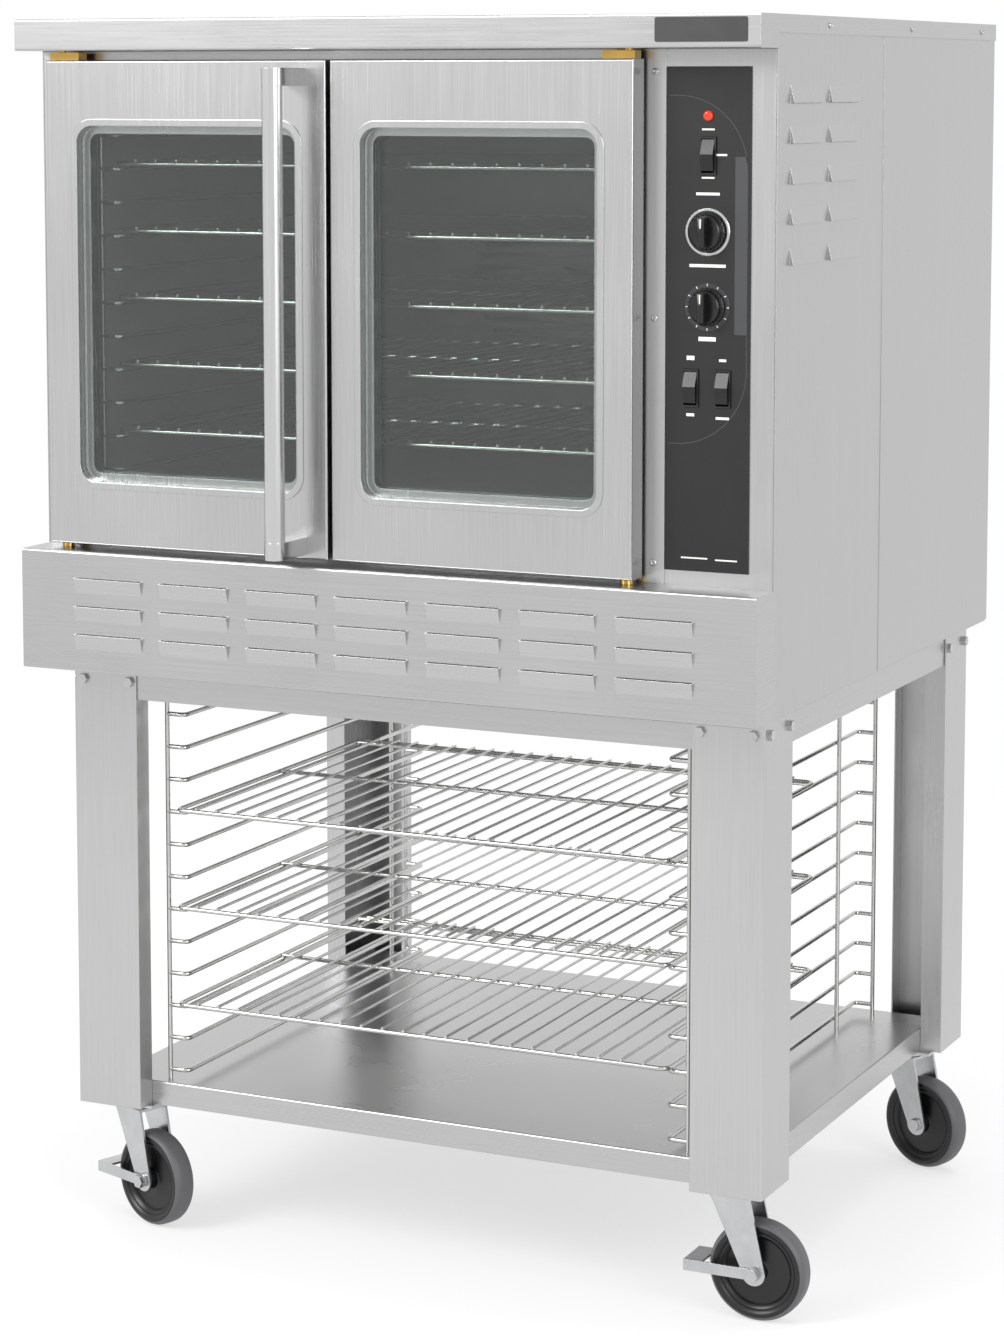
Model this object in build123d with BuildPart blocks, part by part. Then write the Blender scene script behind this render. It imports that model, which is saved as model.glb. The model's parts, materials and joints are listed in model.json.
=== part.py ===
from build123d import *
from math import asin, cos, degrees, hypot, radians, sin
import os

# Full-size convection oven with two glass doors, on an open rack stand with casters.
# Millimetres. +X is to the right, -Y is the front, +Z is up, and z = 0 is the floor.
# The origin lies on the floor under the middle of the whole object. Every x below is
# measured from the middle of the oven, which the helpers place at x_oven.

os.makedirs("parts", exist_ok=True)

# ---- Driving dimensions ----

# casing
oven_width = 1016
oven_height = 838
body_depth = 855
cap_overhang = 62          # how far the cap and the lower front stand in front of the body
cap_height = 40
flange_height = 22         # folded side edge of the top sheet
lower_front_height = 155.5
lower_front_gap = 2.5      # under the lower front, above the stand
sheet = 1.5
bend = 2.5                 # outer radius of the casing's folded front edges
fit = 0.3                  # between pieces that slide into each other
base_lip = 25
seam_front = 368           # lap seam of the side panels, behind the front frame
seam_width = 16
seam_depth = 0.6

# louvres
louver_reach = 5
front_louver_width = 100
front_louver_height = 19
front_louver_columns = 7
front_louver_rows = 3
front_louver_pitch_x = 126.2
front_louver_pitch_z = 36.5
front_louver_top = 43.5    # middle of the first row under the top of the lower front
side_louver_width = 108
side_louver_height = 22
side_louver_rows = 5
side_louver_columns = (97, 231)   # behind the front frame
side_louver_pitch_z = 48
side_louver_top = 93       # middle of the first row under the oven's top

# stand
caster_height = 171
stand_height = 598
stand_inset = 21           # of each side of the stand from the side of the oven
stand_setback = 88         # front of the legs behind the front of the cap
stand_back_inset = 29      # back of the legs in front of the oven's back
leg_sheet = 2
leg_face = 95
leg_lip = 30
foot_plate = 4
top_rail_height = 47
top_rail_flange = 25
shelf_height = 32
bolt_edge = 15             # from a leg's corner to its first bolt
bolt_spacing = 69.4
bolt_drop = 24             # below the top of the stand
bolt_radius = 4
bolt_head_radius = 7
bolt_head = 5
bolt_grip = 9
bolt_clearance = 0.05

# doors
door_depth = 37
door_sheet = 1.5
door_seal_gap = 3          # between a door and the front frame
door_bottom_gap = 7
door_top_gap = 12          # under the cap, for the hinge blocks
door_center_gap = 6
door_bank_inset = 31.5     # from the oven's left side to the left door
control_strip = 168.5      # from the right door to the oven's right side
door_wall_step = 4         # the shell's walls end this far in front of the liner's face
door_liner_lap = 1.5       # sheet of the liner inside the shell's walls
liner_inset = 8
window_radius = 25
window_side = 43           # from the hinge edge of a door to its window
window_free_side = 39      # from the window to the other edge
window_bottom = 79
window_top = 80
window_lip = 6
window_lip_rise = 1.5
window_wall = 3
window_step = 13           # the inner opening is smaller by this much on each side
window_seal = 0.2          # thickness of the bead at each pane
pane_thickness = 4
outer_pane_depth = 12.5    # front of the outer pane behind the door's face
pane_space = 14.5          # between the panes
gasket_offset = 4          # from the cavity opening to the gasket
gasket_width = 10
gasket_thickness = 2.6

# door hinges and chain
hinge_inset = 14
hinge_depth = 19
hinge_pin_radius = 5
hinge_collar_radius = 8
hinge_pin_insert = 18
hinge_pin_drop = 26
hinge_block_length = 42
hinge_block_width = 20
hinge_block_height = 10
hinge_block_back = 12      # from the pin to the block's short end
hinge_pin_rise = 6         # of the top pin above the cap's lower sheet
collar_clearance = 0.3
turning_clearance = 0.08   # round a pin that turns
sprocket_radius = 22
sprocket_thickness = 6
sprocket_drop = 16.5       # from the lower front's top to the sprocket
chain_width = 5
chain_height = 3.5
chain_clearance = 0.5
strand_gap = 0.5           # between the two strands where they cross

# handle
handle_radius = 12.7
handle_wall = 2
handle_reach = 60          # from the door's face to the middle of the tube
handle_edge = 41.5         # from the door's free edge to the middle of the tube
handle_top_gap = 10
handle_bottom_gap = 6
handle_bracket_height = 22
handle_bracket_radius = 13

# cavity
cavity_margin = 39.5       # the doors reach this far past the cavity's sides
cavity_floor = 225         # above the underside of the oven
cavity_roof = 105          # from the cavity's top to the oven's top
cavity_back_space = 155    # from the cavity's back to the oven's back
cavity_sheet = 2
insulation_thickness = 42
plenum_depth = 90          # from the baffle to the cavity's back
baffle_width = 334
baffle_lift = 51
baffle_flange = 18
baffle_post = 14
baffle_slot_pitch = 18
baffle_slots = 11
baffle_slot_height = 8
baffle_inlet_radius = 110
blower_radius = 140
blower_depth = 55
blower_gap = 8
blower_sheet = 2
blade_count = 18
blade_length = 30
shaft_radius = 8
shaft_hole_radius = 14
shaft_engagement = 25
hub_radius = 18
motor_radius = 70
motor_length = 125
motor_plate = 4
motor_cover_depth = 90
motor_cover_width = 420
motor_cover_height = 400
motor_cover_flange = 18
motor_opening = 150
motor_plate_size = 180
vent_slots = 8
vent_slot_pitch = 16
vent_slot_width = 150
vent_slot_height = 6

# gas, flue and power
burner_radius = 19
burner_rise = 62           # above the underside of the oven
burner_pitch = 230
burner_count = 3
burner_length = 560
burner_front = 70          # behind the front frame
burner_foot_width = 30
burner_foot_thickness = 4
manifold_radius = 11
orifice_radius = 6
valve_size = 60
gas_pipe_radius = 13.35    # outside of a 3/4 in iron pipe
gas_pipe_bore = 10.5
service_inset = 108        # of the pipe and of the power inlet from the oven's sides
gas_stub = 40
gas_nut_radius = 19
gas_nut = 6
flue_width = 240
flue_depth = 60
flue_height = 120
flue_drop = 18             # below the oven's top
inlet_rise = 100
inlet_width = 60
inlet_height = 48
inlet_depth = 20
inlet_wall = 6
pin_width = 2
pin_pitch = 7

# controls
panel_inset = 34           # from the oven's right side
panel_width = 107
panel_drop = 21            # under the cap
panel_rise = 18            # above the lower front
panel_thickness = 2
cutout_margin = 8
housing_depth = 110
stile_width = 28
stile_gap = 1              # from the stile to the panel
stile_thickness = 1.5
knob_inset = 88            # from the oven's right side
knob_drops = {"thermostat": 216, "timer": 305}   # under the cap
knob_radius = 20
knob_taper = 3
knob_height = 24
skirt_radius = 23.5
skirt_height = 4
grip_width = 9
knob_gap = 0.4             # between a knob and what is under it
knob_shaft_radius = 3
ring_radius = 28.5
ring_inner_radius = 24.5
ring_height = 1.5
scale_height = 0.6
unit_size = 44
unit_depth = 45
rocker_width = 16
rocker_height = 40
rocker_clearance = 0.4
rocker_wall = 2
rocker_flange = 2
rocker_frame_depth = 16
rocker_pivot_depth = 7
rocker_pivot_radius = 1.5
rocker_pivot_length = 1.4
rocker_rise = 7
rocker_angle = 7
rocker_tip_gap = 1         # from a rocker's end to its frame
rocker_places = {"rocker_upper": (0, 126), "rocker_left": (-21, 402), "rocker_right": (20, 402)}
                           # beside the knobs' middle, and under the cap
lamp_drop = 79             # under the cap
lamp_radius = 6
lamp_rise = 4
lamp_round = 3.2
lamp_depth = 22
lamp_body_radius = 5
nameplate_inset = 16       # from the oven's right side
nameplate_width = 116
nameplate_rise = 7         # above the cap's lower edge
nameplate_height = 29
nameplate_thickness = 1

# wire goods
wire_radius = 3
rack_side_gap = 15.5       # from a rack to the cavity's sides
rack_back_gap = 47         # from a rack to the baffle
rack_bars = 23
rack_gap = 0.3             # between a rack and the rungs under it
bar_width = 4
guide_reach = 27           # from an upright to the rungs
oven_guide_wall_gap = 6.5  # from the uprights to the cavity wall
oven_levels = 11
oven_low_level = 32.5      # lowest rung above the cavity floor
oven_top_space = 42.5      # over the top rung
oven_guide_front = 20      # from the front frame, and from the baffle
oven_rack_front = 33
oven_rack_levels = (2, 4, 6, 8, 10)
stand_levels = 12
stand_low_level = 46.85    # lowest rung above the bottom of the stand
stand_top_space = 71       # over the top rung
stand_guide_inset = 115    # from the side of the stand
stand_guide_front = 45     # behind the front of the legs
stand_guide_back = 56      # in front of the back of the legs
stand_brace = 92           # the middle upright, in front of the rear one
stand_rack_front = 26      # behind the front of the legs
stand_middle_wire = 282    # behind the front of a stand rack
stand_rear_wires = 12      # between the two wires at its back
stand_racks = {"stand_rack_upper": 3, "stand_rack_middle": 6, "stand_rack_lower": 9}
rung_bend = 8

# casters
wheel_radius = 63.5
wheel_width = 32
tread_round = 7
core_radius = 48
core_width = 27
hub_radius_caster = 13
axle_radius = 6
axle_clearance = 0.06
nut_radius = 9
nut_height = 6
fork_gap = 4               # between the wheel and each fork leg
fork_sheet = 3.5
fork_crown = 52            # length of the crown along the trail
fork_foot_radius = 15
fork_drop = 13.5             # from the oven stand's caster plate to the fork's top
caster_trail = 32
caster_plate = 4
caster_plate_size = 88
caster_inset_x = 57
caster_inset_y = 63
raceway_radius = 26
raceway_height = 9
kingpin_radius = 6
kingpin_nut = 3.5
swivel_gap = 0.5
casters = {"front_left": (-1, -1, -20), "front_right": (1, -1, 0),
           "rear_left": (-1, 1, -20), "rear_right": (1, 1, -20)}
brake_sheet = 3
brake_gap = 0.5
brake_reach = 92           # from the axle to the end of the pedal
brake_pedal = 24
brake_arm_height = 14

# ---- Derived sizes and planes ----

handle_front = handle_reach + handle_radius - (cap_overhang - door_seal_gap - door_depth)
overall_depth = handle_front + cap_overhang + body_depth + motor_cover_depth
y_cap = handle_front - overall_depth / 2          # front of the cap and of the lower front
y_body = y_cap + cap_overhang                     # front frame
y_back = y_body + body_depth
y_door = y_body - door_seal_gap - door_depth
y_stand = y_cap + stand_setback
y_stand_back = y_back - stand_back_inset
stand_depth = y_stand_back - y_stand
z_oven = caster_height + stand_height
z_top = z_oven + oven_height
z_lower_front = z_oven + lower_front_gap
z_doors_floor = z_lower_front + lower_front_height
z_door = z_doors_floor + door_bottom_gap
z_cap = z_top - cap_height
z_door_top = z_cap - door_top_gap
z_shelf = caster_height + shelf_height
half_oven = oven_width / 2
half_stand = half_oven - stand_inset
side_outer = half_oven - sheet - fit              # outer faces of the side panels
side_inner = side_outer - sheet
door_bank_left = door_bank_inset - half_oven
door_bank_right = half_oven - control_strip
door_width = (door_bank_right - door_bank_left - door_center_gap) / 2
window_width = door_width - window_side - window_free_side
window_height = z_door_top - z_door - window_bottom - window_top
x_cavity = (door_bank_left + door_bank_right) / 2
z_cavity = z_oven + cavity_floor
cavity_width = door_bank_right - door_bank_left - 2 * cavity_margin
cavity_height = oven_height - cavity_floor - cavity_roof
cavity_depth = body_depth - cavity_back_space
baffle_depth = cavity_depth - plenum_depth
z_cavity_mid = z_cavity + cavity_height / 2
y_cavity_back = y_body + cavity_depth
y_insulation_back = y_cavity_back + cavity_sheet + insulation_thickness
y_hinge = y_door + hinge_depth
x_hinges = {"left": door_bank_left + hinge_inset, "right": door_bank_right - hinge_inset}
hinge_hole_radius = hinge_pin_radius + turning_clearance
knob_x = half_oven - knob_inset
knob_rows = {name: z_cap - drop for name, drop in knob_drops.items()}
rockers = {name: (knob_x + x, z_cap - drop) for name, (x, drop) in rocker_places.items()}
lamp_z = z_cap - lamp_drop
panel_right = half_oven - panel_inset
panel_left = panel_right - panel_width
panel_bottom = z_doors_floor + panel_rise
panel_top = z_cap - panel_drop
gas_pipe_x = half_oven - service_inset
inlet_x = service_inset - half_oven
rack_width = cavity_width - 2 * rack_side_gap
rack_depth = baffle_depth - oven_rack_front - rack_back_gap
last_wire = rack_depth - 2 * wire_radius
oven_cross_wires = (0, last_wire / 2, last_wire)
stand_cross_wires = (0, stand_middle_wire, last_wire - stand_rear_wires, last_wire)
oven_guide_depth = baffle_depth - 2 * oven_guide_front
oven_top_level = cavity_height - oven_top_space
oven_pitch = (oven_top_level - oven_low_level) / (oven_levels - 1)
stand_top_level = stand_height - stand_top_space
stand_pitch = (stand_top_level - stand_low_level) / (stand_levels - 1)
stand_guide_half = half_stand - stand_guide_inset
stand_guide_depth = stand_depth - stand_guide_front - stand_guide_back
z_fork = caster_height - fork_drop
swivel_x = half_stand - caster_inset_x
caster_reach = swivel_x + caster_trail + wheel_radius
louver_side = side_outer + louver_reach
x_oven = (louver_side - caster_reach) / 2         # the right front caster reaches past the oven's side


# ---- Helpers ----

def facing(y):
    """Plane at depth y that looks to the front; its sketches read x and z."""
    return Plane(origin=(x_oven, y, 0), x_dir=(1, 0, 0), z_dir=(0, -1, 0))


def level(z):
    """Plane at height z that looks up; its sketches read x and y."""
    return Plane(origin=(x_oven, 0, z), x_dir=(1, 0, 0), z_dir=(0, 0, 1))


def sideways(x):
    """Plane at x that looks to the right; its sketches read y and z."""
    return Plane(origin=(x_oven + x, 0, 0), x_dir=(0, 1, 0), z_dir=(1, 0, 0))


def block(x0, x1, y0, y1, z0, z1, mode=Mode.ADD):
    """Box between two corners."""
    with Locations((x_oven + (x0 + x1) / 2, (y0 + y1) / 2, (z0 + z1) / 2)):
        Box(abs(x1 - x0), abs(y1 - y0), abs(z1 - z0), mode=mode)


def rect(a0, a1, b0, b1, radius=0, mode=Mode.ADD):
    """Rectangle between two corners of the sketch plane, with round corners where a radius is given."""
    with Locations(((a0 + a1) / 2, (b0 + b1) / 2)):
        if radius:
            RectangleRounded(abs(a1 - a0), abs(b1 - b0), radius, mode=mode)
        else:
            Rectangle(abs(a1 - a0), abs(b1 - b0), mode=mode)


def disc(plane, a, b, radius, depth, mode=Mode.ADD):
    """Cylinder that stands on a plane at (a, b); a negative depth goes behind the plane."""
    with BuildSketch(plane) as circle:
        with Locations((a, b)):
            Circle(radius)
    extrude(circle.sketch, amount=depth, mode=mode)


def louvers(places, outward, width, height, mouth):
    """Hoods pressed out of a sheet. Each place is the middle of a hood on the sheet's outer face;
    mouth is 1 where the hoods open upwards and -1 where they open downwards."""
    slant = hypot(louver_reach, height) * sheet
    crease = height / 2 - slant / louver_reach
    lip = louver_reach - slant / height
    for place in places:
        side = Plane(origin=place, x_dir=outward, z_dir=Vector(*outward).cross(Vector(0, 0, 1)))
        with BuildSketch(side) as hood:
            Polygon((0, -mouth * height / 2), (louver_reach, mouth * height / 2),
                    (0, mouth * height / 2), align=None)
        extrude(hood.sketch, amount=width / 2, both=True)
        with BuildSketch(side) as hollow:
            Polygon((-2 * sheet, -mouth * crease), (0, -mouth * crease), (lip, mouth * height / 2),
                    (-2 * sheet, mouth * height / 2), align=None)
        extrude(hollow.sketch, amount=width / 2 - sheet, both=True, mode=Mode.SUBTRACT)


def keep(piece, name):
    """Name the finished piece and write it."""
    piece.part.label = name
    export_step(piece.part, f"parts/{name}.step")


# ---- Casing ----

with BuildPart() as base_pan:
    block(-side_inner + fit, side_inner - fit, y_body, y_back, z_oven, z_oven + base_lip)
    block(-side_inner + fit + sheet, side_inner - fit - sheet, y_body + sheet, y_back - sheet,
          z_oven + sheet, z_oven + base_lip, mode=Mode.SUBTRACT)
keep(base_pan, "base_pan")

z_side_top = z_top - sheet - fit
side_louver_places = [
    (y_body + column, z_top - side_louver_top - row * side_louver_pitch_z)
    for column in side_louver_columns for row in range(side_louver_rows)
]
with BuildPart() as side_panels:
    for out in (-1, 1):
        block(out * side_inner, out * side_outer, y_body, y_back, z_lower_front, z_side_top)
        block(out * (side_outer - seam_depth), out * side_outer, y_body + seam_front,
              y_body + seam_front + seam_width, z_lower_front, z_side_top, mode=Mode.SUBTRACT)
        louvers([(x_oven + out * side_outer, y, z) for y, z in side_louver_places], (out, 0, 0),
                side_louver_width, side_louver_height, mouth=-1)
keep(side_panels, "side_panels")

with BuildPart() as top_cap:
    block(-half_oven, half_oven, y_cap, y_body, z_cap, z_top)
    cap_folds = top_cap.edges().group_by(Axis.Y)[0]
    fillet(cap_folds.filter_by(Axis.X), radius=bend)
    block(-half_oven + sheet, half_oven - sheet, y_cap + sheet, y_body, z_cap + sheet, z_top - sheet,
          mode=Mode.SUBTRACT)
    block(-half_oven, half_oven, y_body, y_back, z_top - sheet, z_top)
    for out in (-1, 1):
        block(out * half_oven, out * (half_oven - sheet), y_body, y_back, z_top - flange_height, z_top)
    for x in x_hinges.values():
        disc(level(z_cap), x, y_hinge, hinge_hole_radius, sheet, mode=Mode.SUBTRACT)
keep(top_cap, "top_cap")

with BuildPart() as back_panel:
    block(-side_inner + fit, side_inner - fit, y_back - sheet, y_back, z_oven + base_lip + fit, z_side_top)
    block(x_cavity - motor_opening / 2, x_cavity + motor_opening / 2, y_back - sheet, y_back,
          z_cavity_mid - motor_opening / 2, z_cavity_mid + motor_opening / 2, mode=Mode.SUBTRACT)
    z_flue = z_top - flue_drop - flue_height
    block(x_cavity - flue_width / 2 + sheet, x_cavity + flue_width / 2 - sheet, y_back - sheet, y_back,
          z_flue + sheet, z_flue + flue_height / 2, mode=Mode.SUBTRACT)
    z_burner = z_oven + burner_rise
    disc(facing(y_back), gas_pipe_x, z_burner, gas_pipe_radius + fit, sheet, mode=Mode.SUBTRACT)
keep(back_panel, "back_panel")

cutout = (panel_left + cutout_margin, panel_right - cutout_margin,
          panel_bottom + cutout_margin, panel_top - cutout_margin)
with BuildPart() as front_frame:
    with BuildSketch(facing(y_body)):
        rect(-side_inner + fit, side_inner - fit, z_doors_floor, z_cap - fit)
        rect(x_cavity - cavity_width / 2, x_cavity + cavity_width / 2, z_cavity, z_cavity + cavity_height,
             mode=Mode.SUBTRACT)
        rect(*cutout, mode=Mode.SUBTRACT)
    extrude(amount=-sheet)
    block(panel_left - stile_gap - stile_width, panel_left - stile_gap, y_body - stile_thickness, y_body,
          z_doors_floor, z_cap - fit)
keep(front_frame, "front_frame")

first_column = -(front_louver_columns - 1) / 2 * front_louver_pitch_x
front_louver_places = [
    (x_oven + first_column + column * front_louver_pitch_x, y_cap,
     z_doors_floor - front_louver_top - row * front_louver_pitch_z)
    for column in range(front_louver_columns) for row in range(front_louver_rows)
]
with BuildPart() as lower_front_panel:
    block(-half_oven, half_oven, y_cap, y_body, z_lower_front, z_doors_floor)
    front_folds = lower_front_panel.edges().group_by(Axis.Y)[0]
    fillet(front_folds.filter_by(Axis.X), radius=bend)
    block(-half_oven + sheet, half_oven - sheet, y_cap + sheet, y_body, z_lower_front + sheet,
          z_doors_floor - sheet, mode=Mode.SUBTRACT)
    for x in x_hinges.values():
        disc(level(z_doors_floor), x, y_hinge, hinge_hole_radius, -sheet, mode=Mode.SUBTRACT)
    louvers(front_louver_places, (0, -1, 0), front_louver_width, front_louver_height, mouth=1)
keep(lower_front_panel, "lower_front_panel")

with BuildPart() as nameplate:
    nameplate_right = half_oven - nameplate_inset
    block(nameplate_right - nameplate_width, nameplate_right, y_cap - nameplate_thickness, y_cap,
          z_cap + nameplate_rise, z_cap + nameplate_rise + nameplate_height)
    plate_corners = nameplate.edges().filter_by(Axis.Y)
    fillet(plate_corners, radius=bend)
keep(nameplate, "nameplate")


# ---- Cavity and fan ----

def cavity_box(grow, y_end):
    """Box of the cavity, larger by grow on its four sides, from the frame's back to y_end."""
    block(x_cavity - cavity_width / 2 - grow, x_cavity + cavity_width / 2 + grow, y_body + sheet, y_end,
          z_cavity - grow, z_cavity + cavity_height + grow)


with BuildPart() as cavity_liner:
    cavity_box(cavity_sheet, y_cavity_back + cavity_sheet)
    block(x_cavity - cavity_width / 2, x_cavity + cavity_width / 2, y_body + sheet, y_cavity_back,
          z_cavity, z_cavity + cavity_height, mode=Mode.SUBTRACT)
    disc(facing(y_cavity_back), x_cavity, z_cavity_mid, shaft_hole_radius, -cavity_sheet, mode=Mode.SUBTRACT)
keep(cavity_liner, "cavity_liner")

lined = cavity_sheet + fit
with BuildPart() as insulation:
    cavity_box(cavity_sheet + insulation_thickness, y_insulation_back)
    block(x_cavity - cavity_width / 2 - lined, x_cavity + cavity_width / 2 + lined, y_body + sheet,
          y_cavity_back + lined, z_cavity - lined, z_cavity + cavity_height + lined, mode=Mode.SUBTRACT)
    disc(facing(y_insulation_back), x_cavity, z_cavity_mid, shaft_hole_radius,
         insulation_thickness, mode=Mode.SUBTRACT)
keep(insulation, "insulation")

gasket_outer = gasket_offset + gasket_width
with BuildPart() as door_gasket:
    with BuildSketch(facing(y_body)):
        rect(x_cavity - cavity_width / 2 - gasket_outer, x_cavity + cavity_width / 2 + gasket_outer,
             z_cavity - gasket_outer, z_cavity + cavity_height + gasket_outer, radius=gasket_outer)
        rect(x_cavity - cavity_width / 2 - gasket_offset, x_cavity + cavity_width / 2 + gasket_offset,
             z_cavity - gasket_offset, z_cavity + cavity_height + gasket_offset, mode=Mode.SUBTRACT)
    extrude(amount=gasket_thickness)
keep(door_gasket, "door_gasket")

y_baffle = y_body + baffle_depth
with BuildPart() as fan_baffle:
    baffle_left = x_cavity - baffle_width / 2
    baffle_right = x_cavity + baffle_width / 2
    z_baffle = z_cavity + baffle_lift
    z_baffle_top = z_cavity + cavity_height - fit
    block(baffle_left, baffle_right, y_baffle, y_baffle + baffle_flange, z_baffle, z_baffle_top)
    block(baffle_left + sheet, baffle_right - sheet, y_baffle + sheet, y_baffle + baffle_flange,
          z_baffle, z_baffle_top, mode=Mode.SUBTRACT)
    for slot in range(baffle_slots):
        rise = (slot - (baffle_slots - 1) / 2) * baffle_slot_pitch
        half_slot = (baffle_inlet_radius**2 - rise**2) ** 0.5
        block(x_cavity - half_slot, x_cavity + half_slot, y_baffle, y_baffle + sheet,
              z_cavity_mid + rise - baffle_slot_height / 2, z_cavity_mid + rise + baffle_slot_height / 2,
              mode=Mode.SUBTRACT)
    for x in (baffle_left, baffle_right - baffle_post):
        for z in (z_baffle, z_baffle_top - baffle_post):
            block(x, x + baffle_post, y_baffle, y_cavity_back, z, z + baffle_post)
keep(fan_baffle, "fan_baffle")

y_blower_back = y_cavity_back - blower_gap
y_blower = y_blower_back - blower_depth
y_motor = y_insulation_back + fit
with BuildPart() as blower_wheel:
    disc(facing(y_blower_back), x_cavity, z_cavity_mid, blower_radius, blower_sheet)
    with BuildSketch(facing(y_blower)):
        with Locations((x_cavity, z_cavity_mid)):
            Circle(blower_radius)
            Circle(blower_radius - blade_length, mode=Mode.SUBTRACT)
    extrude(amount=-blower_sheet)
    with BuildSketch(facing(y_blower_back)):
        with Locations((x_cavity, z_cavity_mid)):
            with PolarLocations(blower_radius - blade_length / 2, blade_count):
                Rectangle(blade_length, blower_sheet)
    extrude(amount=blower_depth)
    disc(facing(y_blower_back), x_cavity, z_cavity_mid, hub_radius, blower_depth / 2)
    disc(facing(y_blower_back), x_cavity, z_cavity_mid, shaft_radius,
         -(y_motor + motor_plate + shaft_engagement - y_blower_back))
keep(blower_wheel, "blower_wheel")

with BuildPart() as fan_motor:
    motor_half = motor_plate_size / 2
    block(x_cavity - motor_half, x_cavity + motor_half, y_motor, y_motor + motor_plate,
          z_cavity_mid - motor_half, z_cavity_mid + motor_half)
    disc(facing(y_motor + motor_plate), x_cavity, z_cavity_mid, motor_radius, -motor_length)
    motor_end = fan_motor.faces().sort_by(Axis.Y)[-1]
    fillet(motor_end.edges(), radius=hub_radius / 2)
    disc(facing(y_motor), x_cavity, z_cavity_mid, shaft_radius + turning_clearance,
         -(motor_plate + shaft_engagement + fit), mode=Mode.SUBTRACT)
keep(fan_motor, "fan_motor")

with BuildPart() as motor_cover:
    cover_left = x_cavity - motor_cover_width / 2
    cover_right = x_cavity + motor_cover_width / 2
    z_cover = z_cavity_mid - motor_cover_height / 2
    z_cover_top = z_cavity_mid + motor_cover_height / 2
    y_cover = y_back + motor_cover_depth
    block(cover_left, cover_right, y_back, y_cover, z_cover, z_cover_top)
    block(cover_left - motor_cover_flange, cover_right + motor_cover_flange, y_back, y_back + sheet,
          z_cover, z_cover_top)
    block(cover_left + sheet, cover_right - sheet, y_back, y_cover - sheet, z_cover + sheet,
          z_cover_top - sheet, mode=Mode.SUBTRACT)
    for column in (-1, 1):
        slot_x = x_cavity + column * (motor_cover_width - vent_slot_width) / 4
        for row in range(vent_slots):
            slot_z = z_cavity_mid + (row - (vent_slots - 1) / 2) * vent_slot_pitch
            block(slot_x - vent_slot_width / 2, slot_x + vent_slot_width / 2, y_cover - sheet, y_cover,
                  slot_z - vent_slot_height / 2, slot_z + vent_slot_height / 2, mode=Mode.SUBTRACT)
keep(motor_cover, "motor_cover")


# ---- Gas, flue and power ----

y_manifold = y_body + burner_front / 2
burner_columns = [x_cavity + (i - (burner_count - 1) / 2) * burner_pitch for i in range(burner_count)]
with BuildPart() as gas_burners:
    for x in burner_columns:
        disc(facing(y_body + burner_front), x, z_burner, burner_radius, -burner_length)
        disc(facing(y_body + burner_front), x, z_burner, orifice_radius, burner_front / 2)
        for y in (y_body + burner_front + burner_foot_width,
                  y_body + burner_front + burner_length - burner_foot_width):
            block(x - burner_foot_width / 2, x + burner_foot_width / 2, y, y + burner_foot_thickness,
                  z_oven + sheet, z_burner)
    disc(sideways(burner_columns[0] - burner_foot_width), y_manifold, z_burner, manifold_radius,
         gas_pipe_x - burner_columns[0] + burner_foot_width)
    block(gas_pipe_x - valve_size / 2, gas_pipe_x + valve_size / 2, y_manifold - valve_size / 2,
          y_manifold + valve_size / 2, z_burner - valve_size / 2, z_burner + valve_size / 2)
    disc(facing(y_manifold), gas_pipe_x, z_burner, gas_pipe_radius, -(y_back + gas_stub - y_manifold))
    disc(facing(y_back), gas_pipe_x, z_burner, gas_nut_radius, -gas_nut)
    disc(facing(y_back + gas_stub), gas_pipe_x, z_burner, gas_pipe_bore, gas_stub, mode=Mode.SUBTRACT)
keep(gas_burners, "gas_burners")

with BuildPart() as exhaust_vent:
    flue_left = x_cavity - flue_width / 2
    flue_right = x_cavity + flue_width / 2
    block(flue_left, flue_right, y_back, y_back + flue_depth, z_flue, z_flue + flue_height)
    block(flue_left + sheet, flue_right - sheet, y_back + sheet, y_back + flue_depth - sheet,
          z_flue + sheet, z_flue + flue_height, mode=Mode.SUBTRACT)
    block(flue_left + sheet, flue_right - sheet, y_back, y_back + sheet, z_flue + sheet,
          z_flue + flue_height / 2, mode=Mode.SUBTRACT)
keep(exhaust_vent, "exhaust_vent")

with BuildPart() as power_inlet:
    z_inlet = z_oven + inlet_rise
    block(inlet_x - inlet_width / 2, inlet_x + inlet_width / 2, y_back, y_back + inlet_depth,
          z_inlet - inlet_height / 2, z_inlet + inlet_height / 2)
    block(inlet_x - inlet_width / 2 + inlet_wall, inlet_x + inlet_width / 2 - inlet_wall,
          y_back + inlet_wall, y_back + inlet_depth, z_inlet - inlet_height / 2 + inlet_wall,
          z_inlet + inlet_height / 2 - inlet_wall, mode=Mode.SUBTRACT)
    for column in (-1, 0, 1):
        pin_x = inlet_x + column * pin_pitch
        block(pin_x - pin_width / 2, pin_x + pin_width / 2, y_back + inlet_wall,
              y_back + inlet_depth - inlet_wall / 2, z_inlet - pin_pitch / 2, z_inlet + pin_pitch / 2)
keep(power_inlet, "power_inlet")


# ---- Doors ----

def window(door_left, shrink):
    """Corners of a door's window, smaller by shrink on each side."""
    left = door_left["window"]
    return (left + shrink, left + window_width - shrink,
            z_door + window_bottom + shrink, z_door + window_bottom + window_height - shrink)


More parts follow.
